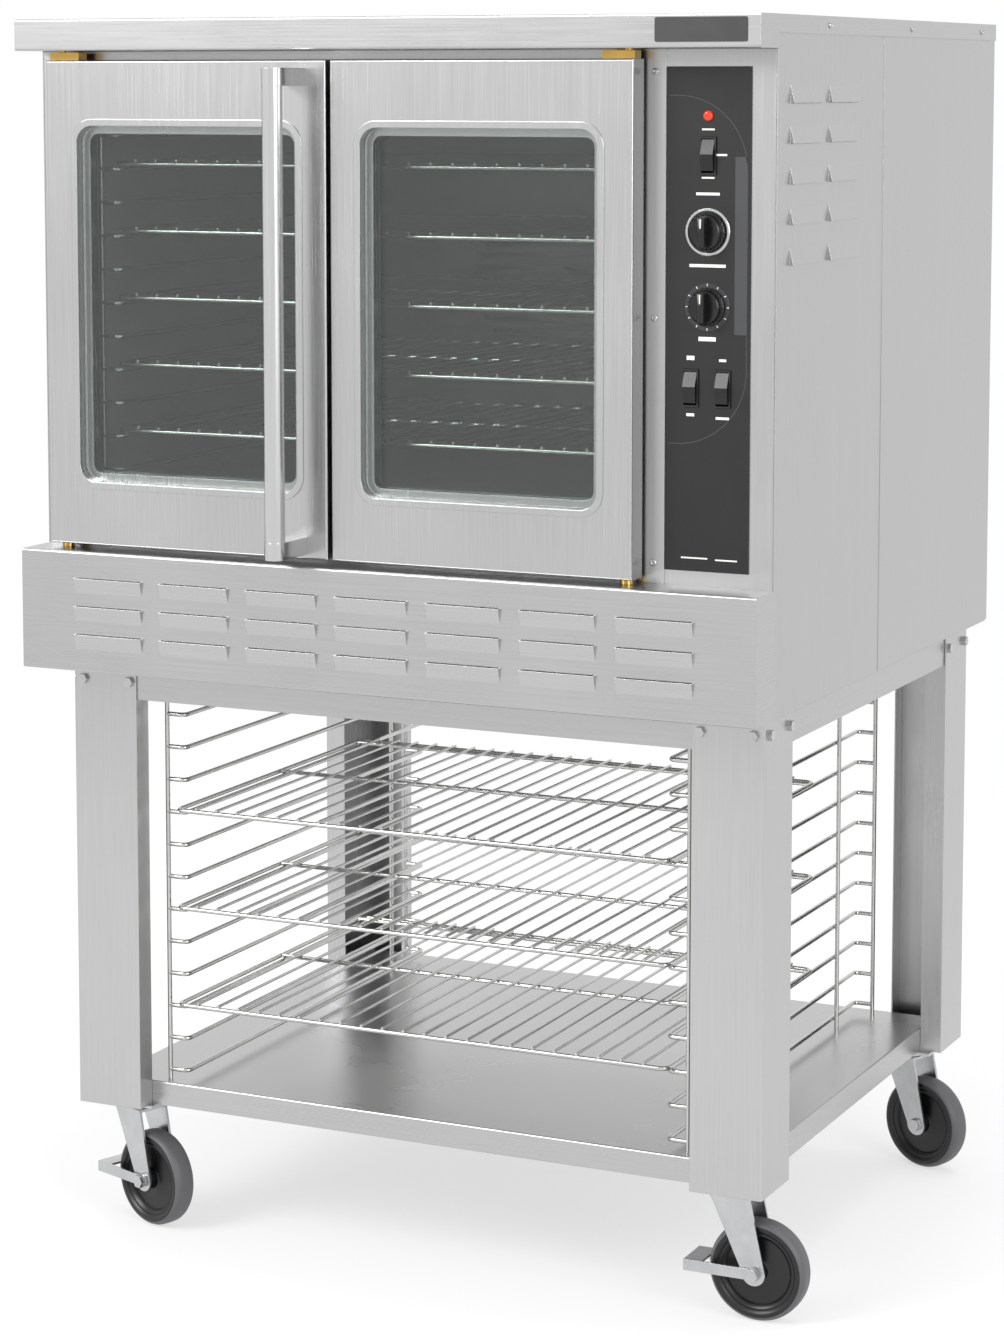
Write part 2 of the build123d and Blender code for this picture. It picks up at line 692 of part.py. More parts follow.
doors = {
    "left": {"edge": door_bank_left, "window": door_bank_left + window_side, "hinge_side": -1},
    "right": {"edge": door_bank_right - door_width,
              "window": door_bank_right - window_side - window_width, "hinge_side": 1},
}
wall_back = y_door + door_depth - door_wall_step
liner_back = y_door + door_depth
liner_front = wall_back - door_liner_lap
inner_shell = door_sheet + fit
inner_pane = outer_pane_depth + pane_thickness + pane_space
z_sprocket = z_doors_floor - sprocket_drop - sprocket_thickness
for side, door in doors.items():
    left = door["edge"]
    right = left + door_width
    x_hinge = x_hinges[side]

    with BuildPart() as door_shell:
        block(left, right, y_door, wall_back, z_door, z_door_top)
        fillet(door_shell.edges().group_by(Axis.Y)[0], radius=bend)
        block(left + door_sheet, right - door_sheet, y_door + door_sheet, wall_back,
              z_door + door_sheet, z_door_top - door_sheet, mode=Mode.SUBTRACT)
        with BuildSketch(facing(y_door)):
            rect(*window(door, 0), radius=window_radius)
        extrude(amount=-door_sheet, mode=Mode.SUBTRACT)
        disc(level(z_door), x_hinge, y_hinge, hinge_hole_radius, door_sheet, mode=Mode.SUBTRACT)
    keep(door_shell, f"{side}_door_shell")

    with BuildPart() as door_liner:
        block(left + inner_shell, right - inner_shell, liner_front, wall_back,
              z_door + inner_shell, z_door_top - inner_shell)
        block(left + liner_inset, right - liner_inset, liner_front, liner_back,
              z_door + liner_inset, z_door_top - liner_inset)
        block(left + liner_inset + door_sheet, right - liner_inset - door_sheet, liner_front,
              liner_back - door_sheet, z_door + liner_inset + door_sheet,
              z_door_top - liner_inset - door_sheet, mode=Mode.SUBTRACT)
        with BuildSketch(facing(liner_back)):
            rect(*window(door, window_step), radius=window_radius - window_step)
        extrude(amount=door_sheet, mode=Mode.SUBTRACT)
    keep(door_liner, f"{side}_door_liner")

    with BuildPart() as window_frame:
        with BuildSketch(facing(y_door - window_lip_rise)):
            rect(*window(door, -window_lip), radius=window_radius + window_lip)
            rect(*window(door, window_wall), radius=window_radius - window_wall, mode=Mode.SUBTRACT)
        extrude(amount=-window_lip_rise)
        lip_edges = window_frame.edges().group_by(Axis.Y)[0]
        fillet(lip_edges, radius=window_lip_rise / 2)
        with BuildSketch(facing(y_door)):
            rect(*window(door, fit), radius=window_radius - fit)
            rect(*window(door, window_wall), radius=window_radius - window_wall, mode=Mode.SUBTRACT)
        extrude(amount=-(inner_pane + pane_thickness + window_seal))
        with BuildSketch(facing(y_door + outer_pane_depth + pane_thickness + window_seal)):
            rect(*window(door, fit), radius=window_radius - fit)
            rect(*window(door, window_step), radius=window_radius - window_step, mode=Mode.SUBTRACT)
        extrude(amount=-(pane_space - 2 * window_seal))
    keep(window_frame, f"{side}_window_frame")

    pane = window_wall + fit
    with BuildPart() as door_glass:
        for depth in (outer_pane_depth, inner_pane):
            with BuildSketch(facing(y_door + depth)):
                rect(*window(door, pane), radius=window_radius - pane)
            extrude(amount=-pane_thickness)
    keep(door_glass, f"{side}_door_glass")

    with BuildPart() as hinge_pins:
        disc(level(z_doors_floor - hinge_pin_drop), x_hinge, y_hinge, hinge_pin_radius,
             hinge_pin_drop + door_bottom_gap + hinge_pin_insert)
        disc(level(z_doors_floor + collar_clearance), x_hinge, y_hinge, hinge_collar_radius,
             door_bottom_gap - collar_clearance)
        disc(level(z_sprocket), x_hinge, y_hinge, sprocket_radius, sprocket_thickness)
        inward = -door["hinge_side"]
        block(x_hinge - inward * hinge_block_back,
              x_hinge + inward * (hinge_block_length - hinge_block_back),
              y_hinge - hinge_block_width / 2, y_hinge + hinge_block_width / 2,
              z_door_top, z_door_top + hinge_block_height)
        disc(level(z_door_top + hinge_block_height), x_hinge, y_hinge, hinge_pin_radius,
             z_cap + hinge_pin_rise - z_door_top - hinge_block_height)
    keep(hinge_pins, f"{side}_hinge_pins")

handle_x = door_bank_left + door_width - handle_edge
y_handle = y_door - handle_reach
z_handle = z_door + handle_bottom_gap
z_handle_top = z_door_top - handle_top_gap
with BuildPart() as door_handle:
    for z in (z_handle, z_handle_top - handle_bracket_height):
        block(handle_x - handle_bracket_radius, handle_x + handle_bracket_radius, y_handle, y_door,
              z, z + handle_bracket_height)
        disc(level(z), handle_x, y_handle, handle_bracket_radius, handle_bracket_height)
    tube_length = z_handle_top - z_handle - 2 * handle_bracket_height
    disc(level(z_handle + handle_bracket_height), handle_x, y_handle, handle_radius, tube_length)
    disc(level(z_handle + handle_bracket_height), handle_x, y_handle, handle_radius - handle_wall,
         tube_length, mode=Mode.SUBTRACT)
keep(door_handle, "door_handle")

# The chain crosses over between the sprockets, so that the doors swing opposite ways.
chain_radius = sprocket_radius + chain_clearance + chain_width / 2
chain_span = x_hinges["right"] - x_hinges["left"]
chain_slope = degrees(asin(2 * chain_radius / chain_span))
z_chain = z_sprocket + sprocket_thickness / 2
x_chain = (x_hinges["left"] + x_hinges["right"]) / 2
strand_length = chain_span * cos(radians(chain_slope))
with BuildPart() as door_chain:
    for rise, turn in ((strand_gap / 2, -1), (-chain_height - strand_gap / 2, 1)):
        with BuildSketch(level(z_chain + rise)):
            with Locations(Location((x_chain, y_hinge), (0, 0, turn * chain_slope))):
                Rectangle(strand_length, chain_width)
        extrude(amount=chain_height)
    for side, out in (("left", -1), ("right", 1)):
        with BuildSketch(level(z_chain - chain_height - strand_gap / 2)):
            with Locations((x_hinges[side], y_hinge)):
                Circle(chain_radius + chain_width / 2)
                Circle(chain_radius - chain_width / 2, mode=Mode.SUBTRACT)
            reach = 2 * chain_radius
            rect(x_hinges[side] - out * chain_radius * sin(radians(chain_slope)),
                 x_hinges[side] - out * reach, y_hinge - reach, y_hinge + reach, mode=Mode.SUBTRACT)
        extrude(amount=2 * chain_height + strand_gap)
keep(door_chain, "door_chain")


# ---- Controls ----

y_panel = y_body - panel_thickness
rocker_outer_width = rocker_width + 2 * (rocker_clearance + rocker_wall)
rocker_outer_height = rocker_height + 2 * (rocker_clearance + rocker_wall)
with BuildPart() as control_panel:
    with BuildSketch(facing(y_body)):
        rect(panel_left, panel_right, panel_bottom, panel_top)
        for x, z in rockers.values():
            rect(x - rocker_outer_width / 2 - fit, x + rocker_outer_width / 2 + fit,
                 z - rocker_outer_height / 2 - fit, z + rocker_outer_height / 2 + fit,
                 mode=Mode.SUBTRACT)
        for z in knob_rows.values():
            with Locations((knob_x, z)):
                Circle(knob_shaft_radius + turning_clearance, mode=Mode.SUBTRACT)
        with Locations((knob_x, lamp_z)):
            Circle(lamp_body_radius + fit, mode=Mode.SUBTRACT)
    extrude(amount=panel_thickness)
keep(control_panel, "control_panel")

with BuildPart() as control_housing:
    left, right, bottom, top = (cutout[0] + fit, cutout[1] - fit, cutout[2] + fit, cutout[3] - fit)
    block(left, right, y_body, y_body + housing_depth, bottom, top)
    block(left + sheet, right - sheet, y_body, y_body + housing_depth - sheet, bottom + sheet, top - sheet,
          mode=Mode.SUBTRACT)
    for z in knob_rows.values():
        block(knob_x - unit_size / 2, knob_x + unit_size / 2, y_body, y_body + unit_depth,
              z - unit_size / 2, z + unit_size / 2)
        disc(facing(y_body), knob_x, z, knob_shaft_radius + turning_clearance, -unit_depth / 2,
             mode=Mode.SUBTRACT)
keep(control_housing, "control_housing")

with BuildPart() as indicator_lamp:
    disc(facing(y_panel), knob_x, lamp_z, lamp_radius, lamp_rise)
    lens = indicator_lamp.edges().group_by(Axis.Y)[0]
    fillet(lens, radius=lamp_round)
    disc(facing(y_panel), knob_x, lamp_z, lamp_body_radius, -lamp_depth)
keep(indicator_lamp, "indicator_lamp")

with BuildPart() as control_bezels:
    with BuildSketch(facing(y_panel)):
        with Locations((knob_x, knob_rows["thermostat"])):
            Circle(ring_radius)
            Circle(ring_inner_radius, mode=Mode.SUBTRACT)
    extrude(amount=ring_height)
    with BuildSketch(facing(y_panel)):
        with Locations((knob_x, knob_rows["timer"])):
            Circle(ring_radius)
            Circle(knob_shaft_radius + fit, mode=Mode.SUBTRACT)
    extrude(amount=scale_height)
    for x, z in rockers.values():
        half_width = rocker_outer_width / 2
        half_height = rocker_outer_height / 2
        block(x - half_width, x + half_width, y_panel - rocker_flange, y_panel + rocker_frame_depth,
              z - half_height, z + half_height)
        block(x - half_width + rocker_wall, x + half_width - rocker_wall, y_panel - rocker_flange,
              y_panel + rocker_frame_depth - rocker_wall, z - half_height + rocker_wall,
              z + half_height - rocker_wall, mode=Mode.SUBTRACT)
        disc(sideways(x - half_width), y_panel + rocker_pivot_depth, z,
             rocker_pivot_radius + turning_clearance, rocker_outer_width, mode=Mode.SUBTRACT)
keep(control_bezels, "control_bezels")

for name, (x, z) in rockers.items():
    press = radians(rocker_angle)
    tilt = Plane(origin=(x_oven + x, y_panel + rocker_pivot_depth, z), x_dir=(0, -cos(press), sin(press)),
                 z_dir=(-1, 0, 0))
    crown = rocker_pivot_depth + rocker_rise
    tip = rocker_height / 2 - rocker_tip_gap
    dip = crown - tip * sin(2 * press)
    with BuildPart() as rocker:
        with BuildSketch(tilt):
            Polygon((crown, 0), (dip, tip), (-rocker_pivot_radius, tip / 2), (-rocker_pivot_radius, -tip / 2),
                    (dip, -tip), align=None)
        extrude(amount=rocker_width / 2, both=True)
        with BuildSketch(tilt):
            Circle(rocker_pivot_radius)
        extrude(amount=rocker_width / 2 + rocker_pivot_length, both=True)
    keep(rocker, name)

knob_base = {"thermostat": y_panel, "timer": y_panel - scale_height}
for name, z in knob_rows.items():
    y_knob = knob_base[name] - knob_gap
    with BuildPart() as knob:
        disc(facing(y_knob), knob_x, z, skirt_radius, skirt_height)
        with BuildSketch(facing(y_knob - skirt_height)):
            with Locations((knob_x, z)):
                Circle(knob_radius)
        extrude(amount=knob_height - skirt_height, taper=knob_taper)
        knob_rim = knob.edges().group_by(Axis.Y)[0]
        fillet(knob_rim, radius=knob_taper / 2)
        for flank in (-1, 1):
            block(knob_x + flank * grip_width / 2, knob_x + flank * knob_radius, y_knob - knob_height,
                  y_knob - knob_height / 2, z - knob_radius, z + knob_radius, mode=Mode.SUBTRACT)
        disc(facing(y_knob), knob_x, z, knob_shaft_radius, -(y_body + unit_depth / 3 - y_knob))
    keep(knob, f"{name}_knob")


# ---- Wire goods ----

def upright(x, y, z0, z1):
    """Vertical wire of a rack guide."""
    disc(level(z0), x, y, wire_radius, z1 - z0)


def rung(x_post, x_rung, y0, y1, z):
    """Wire that carries racks: along the guide, and bent out to an upright at each end."""
    with BuildLine(level(z)) as run:
        FilletPolyline((x_post, y0), (x_rung, y0), (x_rung, y1), (x_post, y1), radius=rung_bend)
    with BuildSketch(Plane(origin=run.line @ 0, z_dir=run.line % 0)) as wire:
        Circle(wire_radius)
    sweep(wire.sketch, path=run.line)


def rack(x_mid, y_front, z, cross_wires):
    """Flat grid of front-to-back bars between cross wires, made as one holed plate."""
    wire = 2 * wire_radius
    half = rack_width / 2
    pitch = (rack_width - 2 * wire + bar_width) / rack_bars
    with BuildSketch(level(z)) as grid:
        rect(x_mid - half, x_mid + half, y_front, y_front + rack_depth, radius=wire)
        for near, far in zip(cross_wires[:-1], cross_wires[1:]):
            with Locations((x_mid, y_front + (near + far + wire) / 2)):
                with GridLocations(pitch, 1, rack_bars, 1):
                    Rectangle(pitch - bar_width, far - near - wire, mode=Mode.SUBTRACT)
    extrude(grid.sketch, amount=wire)


over_rung = wire_radius + rack_gap
oven_post = cavity_width / 2 - oven_guide_wall_gap
y_oven_guide = y_body + oven_guide_front
oven_rungs = [z_cavity + oven_top_level - i * oven_pitch for i in range(oven_levels)]
with BuildPart() as oven_rack_guides:
    for out in (-1, 1):
        post = x_cavity + out * oven_post
        for y in (y_oven_guide, y_oven_guide + oven_guide_depth):
            upright(post, y, z_cavity, oven_rungs[0] + guide_reach / 2)
            for z in (oven_rungs[0], oven_rungs[-1]):
                disc(sideways(post), y, z, wire_radius / 2, out * oven_guide_wall_gap)
        for z in oven_rungs:
            rung(post, post - out * guide_reach, y_oven_guide, y_oven_guide + oven_guide_depth, z)
keep(oven_rack_guides, "oven_rack_guides")

with BuildPart() as oven_racks:
    for i in oven_rack_levels:
        rack(x_cavity, y_body + oven_rack_front, oven_rungs[i - 1] + over_rung, oven_cross_wires)
keep(oven_racks, "oven_racks")

z_rungs = [caster_height + stand_top_level - i * stand_pitch for i in range(stand_levels)]
y_guide = y_stand + stand_guide_front
for side, out in (("left", -1), ("right", 1)):
    post = out * stand_guide_half
    x_rung = post - out * guide_reach
    with BuildPart() as stand_rack_guide:
        for y in (y_guide, y_guide + stand_guide_depth):
            upright(post, y, z_shelf, z_oven - fit)
        upright(x_rung + out * (2 * wire_radius - fit), y_guide + stand_guide_depth - stand_brace, z_shelf,
                z_oven - fit)
        for z in z_rungs:
            rung(post, x_rung, y_guide, y_guide + stand_guide_depth, z)
    keep(stand_rack_guide, f"stand_rack_guide_{side}")

for name, i in stand_racks.items():
    with BuildPart() as stand_rack:
        rack(0, y_stand + stand_rack_front, z_rungs[i] + over_rung, stand_cross_wires)
    keep(stand_rack, name)


# ---- Stand ----

z_rail = z_oven - top_rail_height
z_bolt = z_oven - bolt_drop
bolt_places = (bolt_edge, bolt_edge + bolt_spacing)
corners = [(x, y) for x in (-1, 1) for y in (-1, 1)]
y_middle = (y_stand + y_stand_back) / 2
half_depth = stand_depth / 2
rail_back = leg_sheet + fit                       # from the outside of the legs to the rails
bolt_hole = bolt_radius + bolt_clearance


def corner_block(x, y, x_near, x_far, y_near, y_far, z0, z1, mode=Mode.ADD):
    """Box in the stand's corner (x, y), measured inwards from the outside of the legs."""
    block(x * (half_stand - x_near), x * (half_stand - x_far), y_middle + y * (half_depth - y_near),
          y_middle + y * (half_depth - y_far), z0, z1, mode=mode)


def bolt_holes():
    """Holes for the bolts, through the front, the back and both sides of the stand."""
    for x, y in corners:
        for place in bolt_places:
            disc(facing(y_middle + y * half_depth), x * (half_stand - place), z_bolt, bolt_hole,
                 y * bolt_grip, mode=Mode.SUBTRACT)
            disc(sideways(x * half_stand), y_middle + y * (half_depth - place), z_bolt, bolt_hole,
                 -x * bolt_grip, mode=Mode.SUBTRACT)


with BuildPart() as stand_legs:
    for x, y in corners:
        corner_block(x, y, 0, leg_face, 0, leg_sheet, caster_height, z_oven)
        corner_block(x, y, 0, leg_sheet, 0, leg_face, caster_height, z_oven)
        corner_block(x, y, leg_face - leg_sheet, leg_face, 0, leg_lip, caster_height, z_rail - fit)
        corner_block(x, y, 0, leg_lip, leg_face - leg_sheet, leg_face, caster_height, z_rail - fit)
        corner_block(x, y, 0, leg_face, 0, leg_face, caster_height, caster_height + foot_plate)
    outer_corners = stand_legs.edges().filter_by(Axis.Z).filter_by(
        lambda edge: abs(abs(edge.center().X - x_oven) - half_stand) < fit
        and abs(abs(edge.center().Y - y_middle) - half_depth) < fit)
    fillet(outer_corners, radius=bend)
    bolt_holes()
    for x, y in corners:
        disc(level(caster_height), x * swivel_x, y_middle + y * (half_depth - caster_inset_y),
             kingpin_radius + bolt_clearance, foot_plate, mode=Mode.SUBTRACT)
keep(stand_legs, "stand_legs")

with BuildPart() as stand_top_frame:
    rail_end = leg_sheet + fit
    for out in (-1, 1):
        y_rail = y_middle + out * (half_depth - rail_back)
        block(-half_stand + rail_end, half_stand - rail_end, y_rail, y_rail - out * leg_sheet, z_rail, z_oven)
        block(-half_stand + rail_end, half_stand - rail_end, y_rail, y_rail - out * top_rail_flange,
              z_oven - leg_sheet, z_oven)
        x_rail = out * (half_stand - rail_back)
        rail_gap = rail_back + leg_sheet + fit
        block(x_rail, x_rail - out * leg_sheet, y_stand + rail_gap, y_stand_back - rail_gap, z_rail,
              z_oven - leg_sheet - fit)
        flange_gap = rail_back + top_rail_flange + fit
        block(x_rail, x_rail - out * top_rail_flange, y_stand + flange_gap, y_stand_back - flange_gap,
              z_oven - leg_sheet, z_oven)
        block(x_rail, x_rail - out * leg_sheet, y_stand + flange_gap, y_stand_back - flange_gap, z_rail, z_oven)
    bolt_holes()
keep(stand_top_frame, "stand_top_frame")

with BuildPart() as bottom_shelf:
    shelf_inset = leg_lip + fit
    block(-half_stand + shelf_inset, half_stand - shelf_inset, y_stand + shelf_inset,
          y_stand_back - shelf_inset, caster_height, z_shelf)
    fillet(bottom_shelf.edges().group_by(Axis.Z)[-1], radius=bend)
    block(-half_stand + shelf_inset + leg_sheet, half_stand - shelf_inset - leg_sheet,
          y_stand + shelf_inset + leg_sheet, y_stand_back - shelf_inset - leg_sheet,
          caster_height, z_shelf - leg_sheet, mode=Mode.SUBTRACT)
    for x, y in corners:
        corner_block(x, y, 0, leg_face + fit, 0, leg_face + fit, caster_height,
                     caster_height + foot_plate + fit, mode=Mode.SUBTRACT)
keep(bottom_shelf, "bottom_shelf")

with BuildPart() as stand_bolts:
    for x, y in corners:
        for place in bolt_places:
            for plane, a, way in (
                (facing(y_middle + y * half_depth), x * (half_stand - place), -y),
                (sideways(x * half_stand), y_middle + y * (half_depth - place), x),
            ):
                with BuildSketch(plane):
                    with Locations((a, z_bolt)):
                        RegularPolygon(bolt_head_radius, 6)
                extrude(amount=way * bolt_head)
                disc(plane, a, z_bolt, bolt_radius, -way * bolt_grip)
keep(stand_bolts, "stand_bolts")


# ---- Casters ----

with BuildPart() as caster_plates:
    for x, y in corners:
        y_swivel = y_middle + y * (half_depth - caster_inset_y)
        half_plate = caster_plate_size / 2
        block(x * swivel_x - half_plate, x * swivel_x + half_plate, y_swivel - half_plate,
              y_swivel + half_plate, caster_height - caster_plate, caster_height)
        disc(level(caster_height - caster_plate), x * swivel_x, y_swivel, raceway_radius, -raceway_height)
        disc(level(caster_height + foot_plate), x * swivel_x, y_swivel, kingpin_radius,
             z_fork - fork_sheet - swivel_gap - kingpin_nut - caster_height - foot_plate)
        disc(level(z_fork - fork_sheet - swivel_gap), x * swivel_x, y_swivel, nut_radius, -kingpin_nut)
keep(caster_plates, "caster_plates")

fork_inside = wheel_width / 2 + fork_gap
fork_outside = fork_inside + fork_sheet
for corner, (x, y, turn) in casters.items():
    braked = y < 0
    washer = brake_sheet + 2 * brake_gap if braked else 0
    trail = Vector(cos(radians(turn)), sin(radians(turn)), 0)
    across = Vector(-trail.Y, trail.X, 0)
    swivel = Vector(x_oven + x * swivel_x, y_middle + y * (half_depth - caster_inset_y), 0)
    # sketches on this plane read the distance along the trail and the height over the floor
    caster = Plane(origin=swivel, x_dir=trail, z_dir=-across)

    with BuildPart() as fork:
        with BuildSketch(caster):
            rect(-fork_crown / 2, fork_crown / 2, z_fork - fork_sheet, z_fork)
        extrude(amount=fork_outside, both=True)
        for flank in (-1, 1):
            with BuildSketch(caster.offset(flank * fork_inside)):
                with BuildLine():
                    Polyline((-fork_crown / 2, z_fork), (fork_crown / 2, z_fork),
                             (caster_trail + fork_foot_radius, wheel_radius))
                    RadiusArc((caster_trail + fork_foot_radius, wheel_radius),
                              (caster_trail - fork_foot_radius, wheel_radius), fork_foot_radius)
                    Line((caster_trail - fork_foot_radius, wheel_radius), (-fork_crown / 2, z_fork))
                make_face()
            extrude(amount=flank * fork_sheet)
        with BuildSketch(caster):
            with Locations((caster_trail, wheel_radius)):
                Circle(axle_radius)
        extrude(amount=fork_outside + washer, both=True)
        for flank in (-1, 1):
            with BuildSketch(caster.offset(flank * (fork_outside + washer))):
                with Locations((caster_trail, wheel_radius)):
                    RegularPolygon(nut_radius, 6)
            extrude(amount=flank * nut_height)
        with BuildSketch(Plane(origin=swivel + Vector(0, 0, z_fork))):
            Circle(kingpin_radius + turning_clearance)
        extrude(amount=-fork_sheet, mode=Mode.SUBTRACT)
    keep(fork, f"caster_fork_{corner}")

    with BuildPart() as wheel:
        with BuildSketch(caster):
            with Locations((caster_trail, wheel_radius)):
                Circle(wheel_radius)
        extrude(amount=wheel_width / 2, both=True)
        tread = wheel.edges().filter_by(GeomType.CIRCLE)
        fillet(tread, radius=tread_round)
        with BuildSketch(caster):
            with Locations((caster_trail, wheel_radius)):
                Circle(core_radius)
        extrude(amount=wheel_width / 2, both=True, mode=Mode.SUBTRACT)
        with BuildSketch(caster):
            with Locations((caster_trail, wheel_radius)):
                Circle(core_radius)
        extrude(amount=core_width / 2, both=True)
        with BuildSketch(caster):
            with Locations((caster_trail, wheel_radius)):
                Circle(hub_radius_caster)
        extrude(amount=fork_inside - swivel_gap, both=True)
        with BuildSketch(caster):
            with Locations((caster_trail, wheel_radius)):
                Circle(axle_radius + axle_clearance)
        extrude(amount=fork_inside, both=True, mode=Mode.SUBTRACT)
    keep(wheel, f"caster_wheel_{corner}")

    if braked:
        with BuildPart() as brake:
            pedal_end = caster_trail - brake_reach
            pedal_start = pedal_end + brake_pedal
            arm = brake_arm_height / 2
            for flank in (-1, 1):
                with BuildSketch(caster.offset(flank * (fork_outside + brake_gap))):
                    rect(pedal_end, caster_trail, wheel_radius - arm, wheel_radius + arm)
                    with Locations((caster_trail, wheel_radius)):
                        Circle(nut_radius)
                        Circle(axle_radius + axle_clearance, mode=Mode.SUBTRACT)
                extrude(amount=flank * brake_sheet)
            with BuildSketch(caster):
                rect(pedal_end, pedal_start, wheel_radius + arm - brake_sheet, wheel_radius + arm)
            extrude(amount=fork_outside + brake_gap, both=True)
        keep(brake, f"brake_lever_{corner}")
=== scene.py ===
import bpy
import bmesh
import json
import math
from mathutils import Matrix, Vector


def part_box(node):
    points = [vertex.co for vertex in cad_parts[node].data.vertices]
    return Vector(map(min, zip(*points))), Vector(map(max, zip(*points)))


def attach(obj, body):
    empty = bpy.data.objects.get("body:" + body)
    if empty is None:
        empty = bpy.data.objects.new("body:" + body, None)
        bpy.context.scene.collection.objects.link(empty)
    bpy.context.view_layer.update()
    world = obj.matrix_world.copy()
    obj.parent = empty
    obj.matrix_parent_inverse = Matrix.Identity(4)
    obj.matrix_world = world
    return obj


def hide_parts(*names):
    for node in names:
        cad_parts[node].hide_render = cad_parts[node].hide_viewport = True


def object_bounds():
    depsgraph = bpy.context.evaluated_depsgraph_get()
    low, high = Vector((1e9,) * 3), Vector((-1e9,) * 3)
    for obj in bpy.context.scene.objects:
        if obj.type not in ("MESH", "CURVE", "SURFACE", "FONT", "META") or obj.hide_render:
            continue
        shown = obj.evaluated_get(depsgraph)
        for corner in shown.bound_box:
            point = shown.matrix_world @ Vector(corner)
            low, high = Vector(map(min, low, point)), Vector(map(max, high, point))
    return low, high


# Full-size convection oven on a rack stand with casters, dressed over its fixed CAD frame.
# Lengths in the dictionaries are in millimetres, unless a comment says otherwise.

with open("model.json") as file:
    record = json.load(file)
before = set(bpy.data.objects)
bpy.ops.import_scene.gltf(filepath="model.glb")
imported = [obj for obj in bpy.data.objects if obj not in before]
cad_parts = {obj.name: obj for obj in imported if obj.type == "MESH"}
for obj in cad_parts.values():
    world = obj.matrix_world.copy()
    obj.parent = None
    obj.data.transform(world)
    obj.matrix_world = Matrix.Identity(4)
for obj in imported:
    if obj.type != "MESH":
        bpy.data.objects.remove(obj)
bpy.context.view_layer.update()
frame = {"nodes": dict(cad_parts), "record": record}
scene = bpy.context.scene
joints = {joint["name"]: joint for joint in frame["record"]["behaviour"]["joints"]}
root = "oven_and_stand"
casterPlaces = ("front_left", "front_right", "rear_left", "rear_right")
mm = 0.001
print("frame loaded:", len(frame["nodes"]), "nodes")


# small helpers

def hexColour(code):
    channels = [int(code[i:i + 2], 16) / 255 for i in (1, 3, 5)]
    linear = [c / 12.92 if c <= 0.04045 else ((c + 0.055) / 1.055) ** 2.4 for c in channels]
    return (*linear, 1.0)


def shaded(colour, share):
    return tuple(channel * share for channel in colour[:3]) + (1.0,)


def inMetres(sizes):
    return {name: value * mm for name, value in sizes.items()}


def addNode(tree, kind, settings=None, links=None):
    node = tree.nodes.new(kind)
    for name, value in (settings or {}).items():
        if isinstance(name, int) or name in node.inputs:
            node.inputs[name].default_value = value
        else:
            setattr(node, name, value)
    for name, sources in (links or {}).items():
        for source in sources if isinstance(sources, list) else [sources]:
            tree.links.new(source, node.inputs[name])
    return node


def calc(tree, operation, a, b):
    # a math node on two values, each of them a number or another node's output
    values = {0: a, 1: b}
    numbers = {i: value for i, value in values.items() if isinstance(value, (int, float))}
    wires = {i: value for i, value in values.items() if i not in numbers}
    return addNode(tree, "ShaderNodeMath", {"operation": operation, **numbers}, wires).outputs[0]


def newMaterial(name):
    material = bpy.data.materials.new(name)
    material.use_nodes = True
    material.node_tree.nodes.clear()
    return material, material.node_tree


def finishMaterial(tree, shader):
    addNode(tree, "ShaderNodeOutputMaterial", links={"Surface": shader})


def noise(tree, size, detail, roughness=0.5):
    # noise whose features are size metres large along x, y and z
    place = addNode(tree, "ShaderNodeTexCoord")
    scaled = addNode(tree, "ShaderNodeMapping", {"Scale": tuple(1 / s for s in size)},
                     {"Vector": place.outputs["Object"]})
    return addNode(tree, "ShaderNodeTexNoise", {"Scale": 1.0, "Detail": detail, "Roughness": roughness},
                   {"Vector": scaled.outputs["Vector"]}).outputs["Fac"]


def spread(tree, source, low, high, fromLow=0.3, fromHigh=0.7):
    return addNode(tree, "ShaderNodeMapRange",
                   {"From Min": fromLow, "From Max": fromHigh, "To Min": low, "To Max": high},
                   {"Value": source}).outputs["Result"]


def twoTone(tree, amount, dark, light):
    return addNode(tree, "ShaderNodeMix", {"data_type": "RGBA", 6: dark, 7: light}, {0: amount}).outputs[2]


def paint(material, *nodes):
    for name in nodes:
        part = frame["nodes"][name]
        part.data.materials.clear()
        part.data.materials.append(material)


def addPiece(name, mesh, body, material=None, stands=()):
    piece = bpy.data.objects.new(name, mesh)
    scene.collection.objects.link(piece)
    if material:
        mesh.materials.clear()
        mesh.materials.append(material)
    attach(piece, body)
    if stands:
        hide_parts(*stands)


def meshFrom(name, build):
    shape = bmesh.new()
    build(shape)
    bmesh.ops.recalc_face_normals(shape, faces=shape.faces)
    mesh = bpy.data.meshes.new(name)
    shape.to_mesh(mesh)
    shape.free()
    return mesh


def spinProfile(shape, profile, matrix, steps):
    # profile is a closed loop of (radius, along the axis); the axis is the matrix's z
    rings = []
    for step in range(steps):
        angle = 2 * math.pi * step / steps
        rings.append([shape.verts.new(matrix @ Vector((r * math.cos(angle), r * math.sin(angle), a)))
                      for r, a in profile])
    for step in range(steps):
        here, there = rings[step], rings[(step + 1) % steps]
        for i in range(len(profile)):
            j = (i + 1) % len(profile)
            shape.faces.new((here[i], there[i], there[j], here[j])).smooth = True


def addBlock(shape, low, high):
    for vert in bmesh.ops.create_cube(shape, size=1)["verts"]:
        vert.co = Vector([low[i] if vert.co[i] < 0 else high[i] for i in range(3)])


def markSharp(mesh, degrees=35):
    for polygon in mesh.polygons:
        polygon.use_smooth = True
    mesh.set_sharp_from_angle(angle=math.radians(degrees))


def axisFrame(place, axis):
    z = Vector(axis).normalized()
    x = Vector((0, 0, 1)).cross(z).normalized()
    matrix = Matrix((x, z.cross(x), z)).transposed().to_4x4()
    matrix.translation = Vector(place)
    return matrix


# materials

